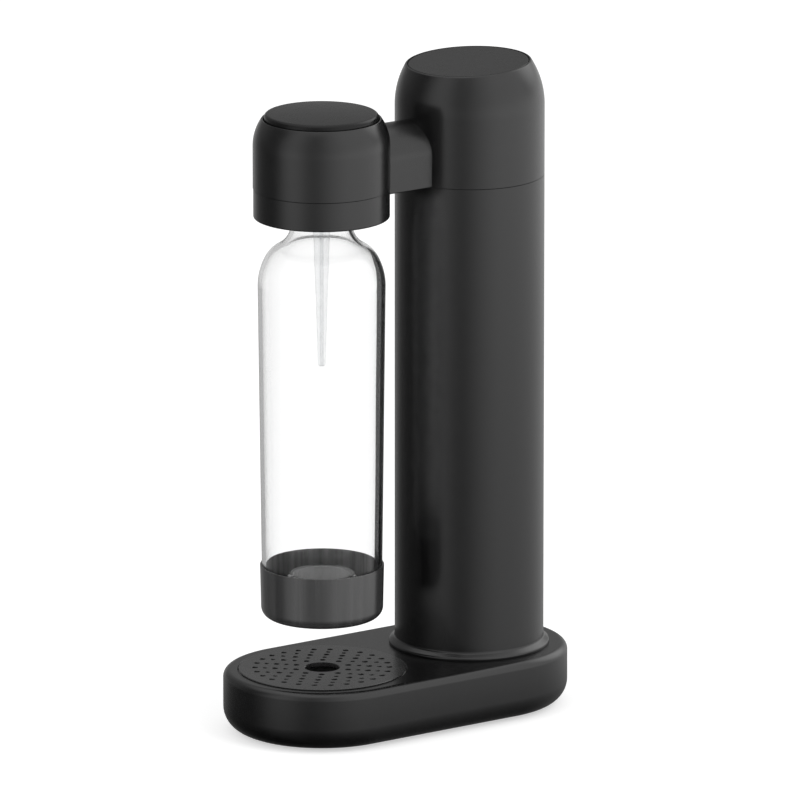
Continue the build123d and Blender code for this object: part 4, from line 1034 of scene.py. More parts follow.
class Workshop:
    """What every sub-assembly needs to make, dress and place its pieces."""

    def __init__(self) -> None:
        """Set up the finishes and the node tools."""
        self.finishes = FinishBook()
        self.lathe = Lathe()
        self.screw_setter = ScrewSetter()
        self.coil_winder = CoilWinder()

    def dress(
        self, name: str, mesh: Mesh, slot: Slot, nodes: Sequence[str], crease: float = 32.0
    ) -> bpy.types.Object:
        """Shade a mesh, dress it and let it stand for CAD nodes.

        Args:
            name: Name of the piece.
            mesh: Closed mesh in metres, in the shared frame.
            slot: Material slot that it takes its finish from.
            nodes: CAD nodes that it stands for.
            crease: Angle in degrees past which an edge stays sharp.

        Returns:
            The piece, which doesn't ride on a body yet.
        """
        mesh.shade_smooth()
        mesh.set_sharp_from_angle(angle=math.radians(crease))
        holder = linked_object(name + "_raw", mesh)
        weighted = holder.modifiers.new("weighted", "WEIGHTED_NORMAL")
        weighted.keep_sharp = True
        weighted.mode = "FACE_AREA"
        finished = evaluated_mesh(holder)
        finished.name = name
        finished.materials.clear()
        finished.materials.append(self.finishes.get(slot))
        piece = linked_object(name, finished)
        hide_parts(*nodes)
        low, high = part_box(nodes[0])
        off = self.off_box(finished, low, high)
        LOG.info("%s: %d faces, %.2f mm from its CAD box", name, len(finished.polygons), off / MM)
        return piece

    def off_box(self, mesh: Mesh, low: Vector, high: Vector) -> float:
        """Measure how far a mesh's box is from another box.

        Args:
            mesh: The mesh, in the shared frame.
            low: Lowest corner of the other box.
            high: Its highest corner.

        Returns:
            The largest difference between two of their sides, in metres.
        """
        gaps = []
        for axis in range(3):
            values = [vertex.co[axis] for vertex in mesh.vertices]
            gaps.extend([abs(min(values) - low[axis]), abs(max(values) - high[axis])])
        return max(gaps)

    def place(
        self,
        name: str,
        mesh: Mesh,
        slot: Slot,
        body: Body,
        nodes: Sequence[str],
        crease: float = 32.0,
    ) -> bpy.types.Object:
        """Dress a mesh and let it ride on a body.

        Args:
            name: Name of the piece.
            mesh: Closed mesh in metres, in the shared frame.
            slot: Material slot that it takes its finish from.
            body: CAD body that it rides on.
            nodes: CAD nodes that it stands for.
            crease: Angle in degrees past which an edge stays sharp.

        Returns:
            The placed piece.
        """
        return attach(self.dress(name, mesh, slot, nodes, crease), body.value)

    def turned(
        self,
        name: str,
        section: Sequence[Point],
        axis: Vector,
        slot: Slot,
        body: Body,
        nodes: Sequence[str],
        segments: int = 160,
    ) -> bpy.types.Object:
        """Turn a closed half section and place it.

        Args:
            name: Name of the piece.
            section: Points of the half section. A ring repeats its first point at the end.
            axis: Upright axis, in millimetres.
            slot: Material slot.
            body: CAD body that it rides on.
            nodes: CAD nodes that it stands for.
            segments: Steps round the axis.

        Returns:
            The placed piece.
        """
        mesh = self.lathe.turn(section, axis, self.finishes.get(slot), segments)
        return self.place(name, mesh, slot, body, nodes)


@dataclass
class Base:
    """Long round-ended base moulding with the pocket for the drip tray."""

    half_width: float = 63.5
    half_span: float = 57.75
    foot: float = 1.0
    top: float = 40.0
    wall: float = 3.0
    bottom_round: float = 15.0
    top_round: float = 5.0
    plate_half: float = 46.1
    plate_top: float = 3.5
    opening_half: float = 40.0
    ledge_top: float = 7.0
    ledge_slope: float = 9.0
    recess_radius: float = 54.2
    recess_floor: float = 37.4
    recess_edge: float = 0.4
    pocket_radius: float = 52.0
    pocket_floor: float = 25.0
    pocket_wall: float = 2.5
    cylinder_way: float = 36.0
    side_steps: int = 24
    end_steps: int = 72
    round_steps: int = 14
    edge_steps: int = 5

    def outline(self, half: float, height: float) -> list[Vector]:
        """Lay out the round-ended outline.

        Args:
            half: Half of its width.
            height: Its height.

        Returns:
            Its points.
        """
        points = []
        for end, start in ((self.half_span, 0.0), (-self.half_span, math.pi)):
            for step in range(self.end_steps):
                angle = start + math.pi * step / self.end_steps
                points.append(polar(Vector((0.0, end, 0.0)), half, angle, height))
            side = half * math.cos(start + math.pi)
            for step in range(self.side_steps):
                share = step / self.side_steps
                points.append(Vector((side, end * (1.0 - 2.0 * share), height)))
        return points

    def circle(self, axis: Vector, radius: float, height: float) -> list[Vector]:
        """Points of a circle about one of the two upright axes."""
        count = 2 * self.end_steps
        return [polar(axis, radius, math.tau * step / count, height) for step in range(count)]

    def skin_levels(self) -> list[Point]:
        """Half widths and heights of the outer rings.

        Returns:
            The levels, from the cavity's ceiling down, round the foot and up to the top face.
        """
        low_centre = (self.half_width - self.bottom_round, self.foot + self.bottom_round)
        high_centre = (self.half_width - self.top_round, self.top - self.top_round)
        inner = self.half_width - self.wall
        return [
            (inner, self.top - self.wall),
            (inner, self.ledge_top + self.ledge_slope),
            (inner - self.ledge_slope, self.ledge_top),
            (self.opening_half, self.ledge_top),
            (self.opening_half, self.plate_top),
            (self.plate_half, self.plate_top),
            (self.plate_half, self.foot),
            *arc(low_centre, self.bottom_round, -90, 90, self.round_steps),
            *arc(high_centre, self.top_round, 0, 90, self.round_steps),
        ]

    def pocket_levels(self) -> list[Point]:
        """Radii and heights of the tray pocket's rings, from the top face down.

        Returns:
            The levels.
        """
        edge_centre = (self.recess_radius + self.recess_edge, self.top - self.recess_edge)
        return [
            *arc(edge_centre, self.recess_edge, 90, 90, self.edge_steps),
            (self.recess_radius, self.recess_floor),
            (self.pocket_radius, self.recess_floor),
            (self.pocket_radius, self.pocket_floor),
        ]

    def mesh(self) -> Mesh:
        """Skin the moulding outside and inside, and fill its flat faces.

        Returns:
            One closed mesh.
        """
        work = SkinWork()
        ceiling = self.top - self.wall
        under_radius = self.recess_radius + self.pocket_wall
        under_levels = [(under_radius, ceiling), (under_radius, self.pocket_floor - self.pocket_wall)]
        way_levels = [(self.cylinder_way, self.top), (self.cylinder_way, ceiling)]
        outer = [work.ring(self.outline(half, height)) for half, height in self.skin_levels()]
        work.skin(outer)
        pocket = [work.ring(self.circle(BOTTLE_AXIS, *level)) for level in self.pocket_levels()]
        work.skin(pocket)
        work.cap(pocket[-1])
        under = [work.ring(self.circle(BOTTLE_AXIS, *level)) for level in under_levels]
        work.skin(under)
        work.cap(under[-1])
        way = [work.ring(self.circle(COLUMN_AXIS, *level)) for level in way_levels]
        work.skin(way)
        work.cap(outer[-1], pocket[0], way[0])
        work.cap(outer[0], under[0], way[1])
        return work.mesh("base_moulding")

    def build(self, shop: Workshop) -> None:
        """Make and place the base moulding."""
        shop.place("base_moulding", self.mesh(), Slot.BLACK_BODY, Body.STAND, ["base_shell"])


@dataclass
class DripTray:
    """Perforated plate that lies on the tray's bowl."""

    radius: float = 53.6
    underside: float = 38.4
    top: float = 40.8
    edge_round: float = 0.35
    drain_radius: float = 11.0
    drain_round: float = 0.5
    ring_first: float = 17.5
    ring_step: float = 6.4
    ring_count: int = 5
    holes_first: int = 10
    holes_step: int = 4
    hole_radii: tuple[float, float] = (1.85, 1.4)
    hole_chamfer: float = 0.2
    rim_below: float = 1.0
    segments: int = 192
    crease: float = 14.0

    def edges(self, shop: Workshop) -> Mesh:
        """Turn the strips of the plate's rim and of its drain.

        Args:
            shop: The workshop.

        Returns:
            Both strips in one mesh.
        """
        rim = [
            (self.radius - self.rim_below, self.underside),
            (self.radius, self.top - self.edge_round),
            (self.radius - self.edge_round, self.top),
        ]
        drain = [
            (self.drain_radius, self.underside),
            (self.drain_radius, self.top - self.drain_round),
            (self.drain_radius + self.drain_round, self.top),
        ]
        finish = shop.finishes.get(Slot.TRAY_BLACK)
        shape = bmesh.new()
        for line in (rim, drain):
            shape.from_mesh(shop.lathe.turn(line, BOTTLE_AXIS, finish, self.segments))
        return mesh_from(shape, "tray_edges")

    def build(self, shop: Workshop) -> None:
        """Fill the plate's perforated faces between its edges, and place it.

        Args:
            shop: The workshop.
        """
        lengths = {
            "First Radius": self.ring_first,
            "Ring Step": self.ring_step,
            "Large Hole": self.hole_radii[0],
            "Small Hole": self.hole_radii[1],
            "Chamfer": self.hole_chamfer,
            "Underside": self.underside,
            "Top": self.top,
            "Rim Below": self.radius - self.rim_below,
            "Rim Above": self.radius - self.edge_round,
            "Drain Below": self.drain_radius,
            "Drain Above": self.drain_radius + self.drain_round,
        }
        values = {
            "Segments": self.segments,
            "First Holes": self.holes_first,
            "More Holes": self.holes_step,
            "Centre": BOTTLE_AXIS * MM,
            "Material": shop.finishes.get(Slot.TRAY_BLACK),
            **{label: length * MM for label, length in lengths.items()},
        }
        holder = linked_object("tray_work", self.edges(shop))
        Perforator(self.ring_count).attach(holder, values)
        mesh = tidy(evaluated_mesh(holder))
        nodes = ["drip_tray_grille"]
        shop.place("tray_plate", mesh, Slot.TRAY_BLACK, Body.TRAY, nodes, crease=self.crease)


@dataclass
class Column:
    """Tall round column with the bead at its foot."""

    radius: float = 48.0
    wall: float = 2.5
    foot: float = 40.0
    seam: float = 350.4
    seam_bevel: float = 0.35
    section_start: float = 200.0
    slip: float = 0.05
    bead_start: float = 1.0
    bead_radius: float = 51.9
    bead_taper: float = 0.4
    bead_edge: float = 42.0
    bead_round: float = 1.7
    bead_foot_round: float = 0.3
    bead_steps: int = 12
    flare_top: float = 46.0
    flare_height: float = 1.4
    flare_round: float = 1.8
    flare_foot: float = 0.1
    flare_lip: float = 0.05

    def build(self, shop: Workshop) -> None:
        """Turn and place the column and its bead.

        Args:
            shop: The workshop.
        """
        inner = self.radius - self.wall
        sleeve: list[Corner] = [
            (inner, self.section_start, 0.0),
            (inner, self.foot, 0.0),
            (self.radius, self.foot, 0.0),
            (self.radius, self.seam, self.seam_bevel),
            (inner, self.seam, 0.0),
            (inner, self.section_start, 0.0),
        ]
        bore = self.radius + self.slip
        bead: list[Corner] = [
            (bore, self.foot + self.bead_start, 0.0),
            (bore, self.foot, 0.0),
            (self.bead_radius - self.bead_taper, self.foot, self.bead_foot_round),
            (self.bead_radius, self.bead_edge, self.bead_round),
            (bore + self.flare_foot, self.flare_top - self.flare_height, self.flare_round),
            (bore + self.flare_lip, self.flare_top, 0.0),
            (bore, self.flare_top, 0.0),
            (bore, self.foot + self.bead_start, 0.0),
        ]
        sections = {
            ("column_sleeve", "column_tube"): soften(sleeve),
            ("foot_bead", "column_foot_ring"): soften(bead, self.bead_steps),
        }
        for (name, node), section in sections.items():
            shop.turned(name, section, COLUMN_AXIS, Slot.BLACK_BODY, Body.STAND, [node])


@dataclass
class ColumnHead:
    """Round casing on top of the column, with its sloping crown and inset lid."""

    radius: float = 48.0
    wall: float = 3.0
    seam: float = 350.4
    seam_bevel: float = 0.35
    shoulder_base: float = 395.6
    shoulder_arc: float = 54.0
    shoulder_steps: int = 18
    ceiling: float = 416.0
    crown_height: float = 423.6
    crown_tilt: float = 2.63
    edge_round: float = 0.7
    edge_passes: int = 12
    edge_steps: int = 5
    landing_share: float = 0.6
    lid_radius: float = 38.7
    lid_gap: float = 0.45
    lid_thickness: float = 3.0
    skirt_radius: float = 35.4
    skirt_depth: float = 5.0
    skirt_wall: float = 3.0
    skirt_round: float = 0.2

    def shoulder_radius(self, height: float) -> float:
        """Outer radius of the shoulder at a height."""
        rise = height - self.shoulder_base
        return self.radius - self.shoulder_arc + math.sqrt(self.shoulder_arc**2 - rise**2)

    @property
    def tilt(self) -> float:
        """Slope of the crown, in radians."""
        return math.radians(self.crown_tilt)

    @property
    def crown_matrix(self) -> Matrix:
        """Place of the lid.

        Returns:
            Matrix to its middle on the sloping crown.
        """
        rise = self.lid_radius * math.tan(self.tilt)
        back = self.shoulder_radius(self.crown_height + rise)
        front = self.shoulder_radius(self.crown_height - rise)
        level = Matrix.Translation(Vector((0.0, COLUMN_Y, self.crown_height)))
        slide = Matrix.Translation((0.0, (back - front) / 2, 0.0))
        return level @ Matrix.Rotation(self.tilt, 4, "X") @ slide

    def crown_edge(self, angle: float) -> Point:
        """Find where the shoulder meets the sloping crown.

        Args:
            angle: Angle about the column's axis, in radians.

        Returns:
            Radius and height of the edge.
        """
        radius = self.lid_radius
        slope = math.sin(angle) * math.tan(self.tilt)
        for _ in range(self.edge_passes):
            height = self.crown_height + radius * slope
            radius = self.shoulder_radius(height)
        return radius, self.crown_height + radius * slope

    def section_at(self, angle: float) -> list[Vector]:
        """Lay out the casing's closed section.

        Args:
            angle: Angle about the column's axis, in radians.

        Returns:
            The section's points, from the seam up the outside, over the lid's seat and down the lining.
        """
        edge_radius, edge_height = self.crown_edge(angle)
        centre = (self.radius - self.shoulder_arc, self.shoulder_base)
        edge_angle = math.degrees(math.asin((edge_height - self.shoulder_base) / self.shoulder_arc))
        trim = math.degrees(self.edge_round / self.shoulder_arc)
        skin = [
            (self.radius - self.wall, self.seam),
            (self.radius - self.seam_bevel, self.seam),
            (self.radius, self.seam + self.seam_bevel),
            *arc(centre, self.shoulder_arc, 0, edge_angle - trim, self.shoulder_steps),
        ]
        points = [polar(COLUMN_AXIS, radius, angle, height) for radius, height in skin]
        crown = self.crown_matrix
        spoke = Vector((math.cos(angle), math.sin(angle), 0.0))
        corner = polar(COLUMN_AXIS, edge_radius, angle, edge_height)
        inward = crown @ (spoke * (self.lid_radius + self.lid_gap))
        land = inward - corner
        landing = corner + land.normalized() * min(self.edge_round, self.landing_share * land.length)
        start = points[-1]
        for step in range(1, self.edge_steps + 1):
            share = step / self.edge_steps
            rest = 1.0 - share
            points.append(start * rest**2 + corner * (2 * share * rest) + landing * share**2)
        normal = crown.to_3x3() @ Vector((0.0, 0.0, 1.0))
        seat = inward - normal * self.lid_thickness
        ledge_spoke = spoke * (self.skirt_radius + self.lid_gap)
        ledge = crown @ (ledge_spoke - Vector((0.0, 0.0, self.lid_thickness)))
        points.extend([inward, seat, ledge])
        inner_arc = self.shoulder_arc - self.wall
        inner_sweep = math.degrees(math.asin((self.ceiling - self.shoulder_base) / inner_arc))
        lining = arc(centre, inner_arc, inner_sweep, -inner_sweep, self.shoulder_steps)
        hole = (Vector((ledge.x, ledge.y)) - COLUMN_AXIS.to_2d()).length
        points.append(polar(COLUMN_AXIS, hole, angle, self.ceiling))
        points.extend(polar(COLUMN_AXIS, radius, angle, height) for radius, height in lining)
        return points

    def lid_section(self) -> list[Point]:
        """Half section of the lid about its own middle, with the skirt below it.

        Returns:
            The section's points.
        """
        under = -self.lid_thickness
        skirt_inner = self.skirt_radius - self.skirt_wall
        corners: list[Corner] = [
            (0.0, 0.0, 0.0),
            (self.lid_radius, 0.0, self.edge_round),
            (self.lid_radius, under, self.skirt_round),
            (self.skirt_radius, under, 0.0),
            (self.skirt_radius, under - self.skirt_depth, self.skirt_round),
            (skirt_inner, under - self.skirt_depth, self.skirt_round),
            (skirt_inner, under, 0.0),
            (0.0, under, 0.0),
        ]
        return soften(corners)

    def build(self, shop: Workshop) -> None:
        """Make and place the casing and its lid.

        Args:
            shop: The workshop.
        """
        casing = ring_shell(self.section_at)
        shop.place("column_casing", casing, Slot.BLACK_BODY, Body.STAND, ["head_housing"])
        lid = shop.lathe.turn(self.lid_section(), Vector(), shop.finishes.get(Slot.BLACK_CAP))
        crown = self.crown_matrix
        lid.transform(Matrix.Translation(crown.translation * MM) @ crown.to_3x3().to_4x4())
        shop.place("column_lid", lid, Slot.BLACK_CAP, Body.STAND, ["column_cap"])


@dataclass
class BottleHead:
    """Round head above the bottle: casing, collar and push button."""

    radius: float = 43.75
    wall: float = 2.85
    seam: float = 356.4
    seam_bevel: float = 0.35
    shoulder: float = 384.0
    shoulder_arc: float = 30.7
    shoulder_steps: int = 20
    top: float = 401.6
    rim_trim: float = 1.0
    rim_round: float = 0.4
    bore: float = 37.1
    lip_base: float = 392.0
    lip_radius: float = 40.0
    casing_segments: int = 176
    collar_radius: float = 43.45
    collar_start: float = 2.0
    collar_base: float = 337.6
    collar_wall: float = 3.0
    collar_hole: float = 22.6
    collar_hole_rounds: tuple[float, float] = (0.3, 0.5)
    collar_round: float = 1.0
    button_radius: float = 36.6
    button_top: float = 405.0
    button_crown: float = 0.8
    button_edge: float = 2.6
    button_wall: float = 2.6
    button_underside: float = 401.0
    crown_steps: int = 16
    edge_steps: int = 12
    flange_radius: float = 39.4
    flange_top: float = 391.9
    flange_height: float = 2.0
    stem_radius: float = 4.95
    stem_foot: float = 381.3
    stem_round: float = 4.0
    stem_steps: int = 8

    @property
    def shoulder_sweep(self) -> float:
        """Angle of the shoulder's arc, in degrees."""
        return math.degrees(math.asin((self.top - self.shoulder) / self.shoulder_arc))

    def radius_at(self, height: float) -> float:
        """Outer radius of the casing.

        Args:
            height: Height above the table.

        Returns:
            The radius there.
        """
        if height <= self.shoulder:
            return self.radius
        rise = height - self.shoulder
        return self.radius - self.shoulder_arc + math.sqrt(self.shoulder_arc**2 - rise**2)

    def casing_section(self) -> list[Point]:
        """Half section of the casing.

        Returns:
            The section's points, from its inside at the seam and back.
        """
        inner = self.radius - self.wall
        centre = (self.radius - self.shoulder_arc, self.shoulder)
        skin = arc(centre, self.shoulder_arc, 0, self.shoulder_sweep - self.rim_trim, self.shoulder_steps)
        rim: list[Corner] = [
            (*skin[-1], 0.0),
            (self.radius_at(self.top), self.top, self.rim_round),
            (self.bore, self.top, self.rim_round),
            (self.bore, self.lip_base, 0.0),
        ]
        return [
            (inner, self.seam),
            (self.radius - self.seam_bevel, self.seam),
            (self.radius, self.seam + self.seam_bevel),
            *skin[:-1],
            *soften(rim),
            (self.lip_radius, self.lip_base),
            (inner, self.shoulder),
            (inner, self.seam),
        ]

    def collar_section(self) -> list[Point]:
        """Half section of the collar.

        Returns:
            The section's points, from its inside and back.
        """
        floor = self.collar_base + self.collar_wall
        inner = self.collar_radius - self.collar_wall
        upper_round, lower_round = self.collar_hole_rounds
        corners: list[Corner] = [
            (inner, self.seam - self.collar_start, 0.0),
            (inner, floor, 0.0),
            (self.collar_hole, floor, upper_round),
            (self.collar_hole, self.collar_base, lower_round),
            (self.collar_radius, self.collar_base, self.collar_round),
            (self.collar_radius, self.seam, self.seam_bevel),
            (inner, self.seam, 0.0),
            (inner, self.seam - self.collar_start, 0.0),
        ]
        return soften(corners)

    def button_section(self) -> list[Point]:
        """Half section of the button, with its crown, flange and stem.

        Returns:
            The section's points, from the crown's middle to the stem's foot.
        """
        flat_end = self.button_radius - self.button_edge
        crown_radius = (flat_end**2 + self.button_crown**2) / (2 * self.button_crown)
        crown_sweep = math.degrees(math.asin(flat_end / crown_radius))
        crown_centre = (0.0, self.button_top + self.button_crown - crown_radius)
        edge_centre = (flat_end, self.button_top - self.button_edge)
        tip_centre = (self.stem_radius - self.stem_round, self.stem_foot + self.stem_round)
        inner = self.button_radius - self.button_wall
        foot = self.flange_top - self.flange_height
        return [
            *arc(crown_centre, crown_radius, 90, -crown_sweep, self.crown_steps),
            *arc(edge_centre, self.button_edge, 90, -90, self.edge_steps)[1:],
            (self.button_radius, self.flange_top),
            (self.flange_radius, self.flange_top),
            (self.flange_radius, foot),
            (inner, foot),
            (inner, self.button_underside),
            (self.stem_radius, self.button_underside),
            *arc(tip_centre, self.stem_round, 0, -90, self.stem_steps),
            (0.0, self.stem_foot),
        ]

    def build(self, shop: Workshop) -> None:
        """Turn and place the casing, the collar and the button.

        Args:
            shop: The workshop.
        """
        casing, collar, button = self.casing_section(), self.collar_section(), self.button_section()
        shop.turned(
            "head_casing",
            casing,
            BOTTLE_AXIS,
            Slot.BLACK_BODY,
            Body.STAND,
            ["bottle_head_shell"],
            self.casing_segments,
        )
        shop.turned("head_collar", collar, BOTTLE_AXIS, Slot.BLACK_BODY, Body.STAND, ["bottle_collar"])
        shop.turned("push_button", button, BOTTLE_AXIS, Slot.BLACK_CAP, Body.BUTTON, ["button_cap"])


@dataclass
class BridgeArm:
    """Arched arm between the column and the bottle head."""

    half: float = 20.0
    wall: float = 2.5
    foot: float = 350.4
    spring_line: float = 371.5
    edge_round: float = 0.8
    bite: float = 0.15
    arch_steps: int = 40
    length_steps: int = 6

    def outline(self, half: float, foot: float) -> list[Point]:
        """Lay out the arched outline.

        Args:
            half: Half of its width.
            foot: Height of its flat underside.

        Returns:
            Sideways places and heights, from the foot's middle round and back.
        """
        corners: list[Corner] = [
            (0.0, foot, 0.0),
            (half, foot, self.edge_round),
            (half, self.spring_line, 0.0),
        ]
        right = soften(corners)
        top = arc((0.0, self.spring_line), half, 0, 180, self.arch_steps)
        left = [(-x, z) for x, z in reversed(right[1:-1])]
        return [*right[:-1], *top, *left]

    def row(self, outline: list[Point], share: float, column: Column, head: BottleHead) -> list[Vector]:
        """Place an outline between the two round casings.

        Args:
            outline: Sideways places and heights.
            share: How far it is from the column to the bottle head, from 0 to 1.
            column: The column.
            head: The bottle head.

        Returns:
            The outline's points.
        """
        points = []
        for x, z in outline:
            start = COLUMN_Y - math.sqrt((column.radius - self.bite) ** 2 - x**2)
            end = BOTTLE_Y + math.sqrt((head.radius_at(z) - self.bite) ** 2 - x**2)
            points.append(Vector((x, start + (end - start) * share, z)))
        return points

    def build(self, shop: Workshop, column: Column, head: BottleHead) -> None:
        """Loft the arm's walls between the two round casings and place it.

        Args:
            shop: The workshop.
            column: The column.
            head: The bottle head.
        """
        outer = self.outline(self.half, self.foot)
        inner = self.outline(self.half - self.wall, self.foot + self.wall)
        shares = [step / self.length_steps for step in range(self.length_steps + 1)]
        work = SkinWork()
        walls = []
        for outline in (outer, inner):
            walls.append([work.ring(self.row(outline, share, column, head)) for share in shares])
        for wall in walls:
            work.skin(wall)
        for end in (0, -1):
            work.skin([wall[end] for wall in walls])
        mesh = work.mesh("arm_casing")
        shop.place("arm_casing", mesh, Slot.BLACK_BODY, Body.STAND, ["bridge_arm"])


@dataclass
class Bottle:
    """Clear bottle with three thread lugs, and the satin cup on its foot."""

    mouth: float = 345.9
    neck: float = 19.6
    neck_wall: float = 2.4
    neck_land: float = 0.3
    wall: float = 2.5
    radius: float = 40.75
    foot_radius: float = 38.3
    foot_round: float = 6.0
    foot_steps: int = 10
    shoulder: float = 292.5
    lower_arc: float = 39.1
    lower_sweep: float = 27.9
    lower_steps: int = 14
    upper_arc: float = 20.0
    upper_steps: int = 16
    neck_flare: float = 16.0
    flare_steps: int = 14
    base: float = 78.8
    floor: float = 3.0
    punt_top: float = 101.0
    punt_radius: float = 19.0
    punt_foot: float = 25.5
    punt_round: float = 2.5
    lug_radius: float = 21.7
    lug_base: float = 341.6
    lug_height: float = 3.0
    lug_slope: float = 0.4
    lug_span: float = 70.0
    lug_fade: float = 4.0
    lug_angles: tuple[float, float, float] = (30.0, 150.0, 270.0)
    lip_round: float = 0.6
    cup_base: float = 75.0
    cup_top: float = 109.5
    cup_top_radius: float = 39.7
    cup_foot_radius: float = 39.1
    cup_round: float = 7.0
    cup_steps: int = 14
    cup_inner: float = 38.8
    cup_rim_rounds: tuple[float, float] = (0.35, 0.3)
    cup_gap: float = 0.1

    def body_line(self, inset: float, neck: float, base: float) -> list[Point]:
        """Lay out the line of the bottle's outside or inside.

        Args:
            inset: How far the line is drawn in from the outside.
            neck: Radius of the neck on this line.
            base: Height of the bottle's floor on this line.

        Returns:
            The line's points, from the middle of the pushed-up floor to the end of the neck's flare.
        """
        sweep = math.radians(self.lower_sweep)
        lower_centre = (self.radius - self.lower_arc, self.shoulder)
        step = self.lower_arc - self.upper_arc
        upper_centre = (lower_centre[0] + step * math.cos(sweep), lower_centre[1] + step * math.sin(sweep))
        upper_radius = self.upper_arc - inset
        flare = self.neck_flare + self.neck - neck
        across = neck + flare - upper_centre[0]
        rise = math.sqrt((upper_radius + flare) ** 2 - across**2)
        flare_centre = (neck + flare, upper_centre[1] + rise)
        flare_angle = math.degrees(math.atan2(rise, across))
        upper_sweep = flare_angle - self.lower_sweep
        foot = self.foot_radius - inset
        foot_round = self.foot_round - inset
        foot_centre = (foot - foot_round, base + foot_round)
        punt_top = self.punt_top + base - self.base
        punt: list[Corner] = [
            (0.0, punt_top, 0.0),
            (self.punt_radius + inset, punt_top, self.punt_round),
            (self.punt_foot + inset, base, self.punt_round),
            (foot - foot_round, base, 0.0),
        ]
        return [
            *soften(punt)[:-1],
            *arc(foot_centre, foot_round, -90, 90, self.foot_steps),
            *arc(lower_centre, self.lower_arc - inset, 0, self.lower_sweep, self.lower_steps),
            *arc(upper_centre, upper_radius, self.lower_sweep, upper_sweep, self.upper_steps)[1:],
            *arc(flare_centre, flare, 180 + flare_angle, -flare_angle, self.flare_steps)[1:],
        ]

    def lug_share(self, angle: float) -> float:
        """How far a thread lug stands out.

        Args:
            angle: Angle about the bottle's axis, in radians.

        Returns:
            A share from 0 to 1.
        """
        share = 0.0
        for middle in self.lug_angles:
            apart = abs((math.degrees(angle) - middle + 180.0) % 360.0 - 180.0)
            inside = self.lug_span / 2 + self.lug_fade / 2 - apart
            share = max(share, min(1.0, max(0.0, inside / self.lug_fade)))
        return share

    def section_at(self, angle: float) -> list[Vector]:
        """Lay out the section of the bottle's wall.

        Args:
            angle: Angle about the bottle's axis, in radians.

        Returns:
            The section's points, from its floor outside to its floor inside.
        """
        neck_inner = self.neck - self.neck_wall
        outside = self.body_line(0.0, self.neck, self.base)
        inside = self.body_line(self.wall, neck_inner, self.base + self.floor)
        lug = self.neck + (self.lug_radius - self.neck) * self.lug_share(angle)
        lug_top = self.lug_base + self.lug_height
        thread = [
            (self.neck, self.lug_base - self.lug_slope),
            (lug, self.lug_base),
            (lug, lug_top - self.lug_slope),
            (self.neck, lug_top),
        ]
        lip: list[Corner] = [
            (self.neck, lug_top + self.neck_land, 0.0),
            (self.neck, self.mouth, self.lip_round),
            (neck_inner, self.mouth, self.lip_round),
            (*inside[-1], 0.0),
        ]
        line = [*outside, *thread, *soften(lip)[:-1], *reversed(inside)]
        return [polar(BOTTLE_AXIS, radius, angle, height) for radius, height in line]

    def cup_section(self) -> list[Point]:
        """Half section of the cup on the bottle's foot.

        Returns:
            The section's points, from the middle below to the middle inside.
        """
        outer_centre = (self.cup_foot_radius - self.cup_round, self.cup_base + self.cup_round)
        inner_centre = (self.foot_radius - self.foot_round, self.base + self.foot_round)
        outer_round, inner_round = self.cup_rim_rounds
        rim: list[Corner] = [
            (self.cup_foot_radius, self.cup_base + self.cup_round, 0.0),
            (self.cup_top_radius, self.cup_top, outer_round),
            (self.cup_inner, self.cup_top, inner_round),
            (self.foot_radius + self.cup_gap, self.base + self.foot_round, 0.0),
        ]
        return [
            (0.0, self.cup_base),
            *arc(outer_centre, self.cup_round, -90, 90, self.cup_steps),
            *soften(rim)[1:],
            *arc(inner_centre, self.foot_round + self.cup_gap, 0, -90, self.foot_steps)[1:],
            (0.0, self.base - self.cup_gap),
        ]

    def build(self, shop: Workshop) -> None:
        """Make and place the bottle and its cup.

        Args:
            shop: The workshop.
        """
        wall = ring_shell(self.section_at, closed=False)
        nodes = ["bottle", "bottle_neck_ring"]
        shop.place("bottle_wall", wall, Slot.CLEAR_BOTTLE, Body.BOTTLE, nodes)
        cup = self.cup_section()
        boot = shop.turned(
            "bottle_boot", cup, BOTTLE_AXIS, Slot.CUP_SATIN, Body.BOTTLE, ["bottle_base_cup"]
        )
        self.paint_light_on_cup_lining(boot)

    def paint_light_on_cup_lining(self, boot: bpy.types.Object) -> None:
        """Paint light on the inside of the cup's wall with a brighter copy of its satin finish.

        Args:
            boot: The cup.
        """
        boot.data.materials.append(CUP_LINING_PAINTED_LIGHT.material())
        for face in boot.data.polygons:
            spoke = face.center.to_2d() - BOTTLE_AXIS.to_2d() * MM
            if face.normal.to_2d().dot(spoke) < 0.0 and face.center.z > self.base * MM:
                face.material_index = 1


@dataclass
class Nozzle:
    """Tapered tube that takes the gas down into the bottle."""

    spigot_radius: float = 4.6
    spigot_top: float = 345.0
    collar_radius: float = 5.35
    collar_top: float = 333.0
    collar_base: float = 330.0
    middle_radius: float = 3.75
    middle: float = 285.0
    tip_radius: float = 2.4
    tip: float = 240.0
    tip_steps: int = 8
    bore: float = 1.0
    segments: int = 48

    def build(self, shop: Workshop) -> None:
        """Turn and place the tube.

        Args:
            shop: The workshop.
        """
        tip_round = self.tip_radius - self.bore
        section = [
            (self.bore, self.spigot_top),
            (self.spigot_radius, self.spigot_top),
            (self.spigot_radius, self.collar_top),
            (self.collar_radius, self.collar_top),
            (self.collar_radius, self.collar_base),
            (self.middle_radius, self.middle),
            *arc((self.bore, self.tip + tip_round), tip_round, 0, -90, self.tip_steps),
            (self.bore, self.spigot_top),
        ]
        nodes = ["nozzle"]
        shop.turned(
            "dip_tube", section, BOTTLE_AXIS, Slot.NOZZLE_GREY, Body.STAND, nodes, self.segments
        )


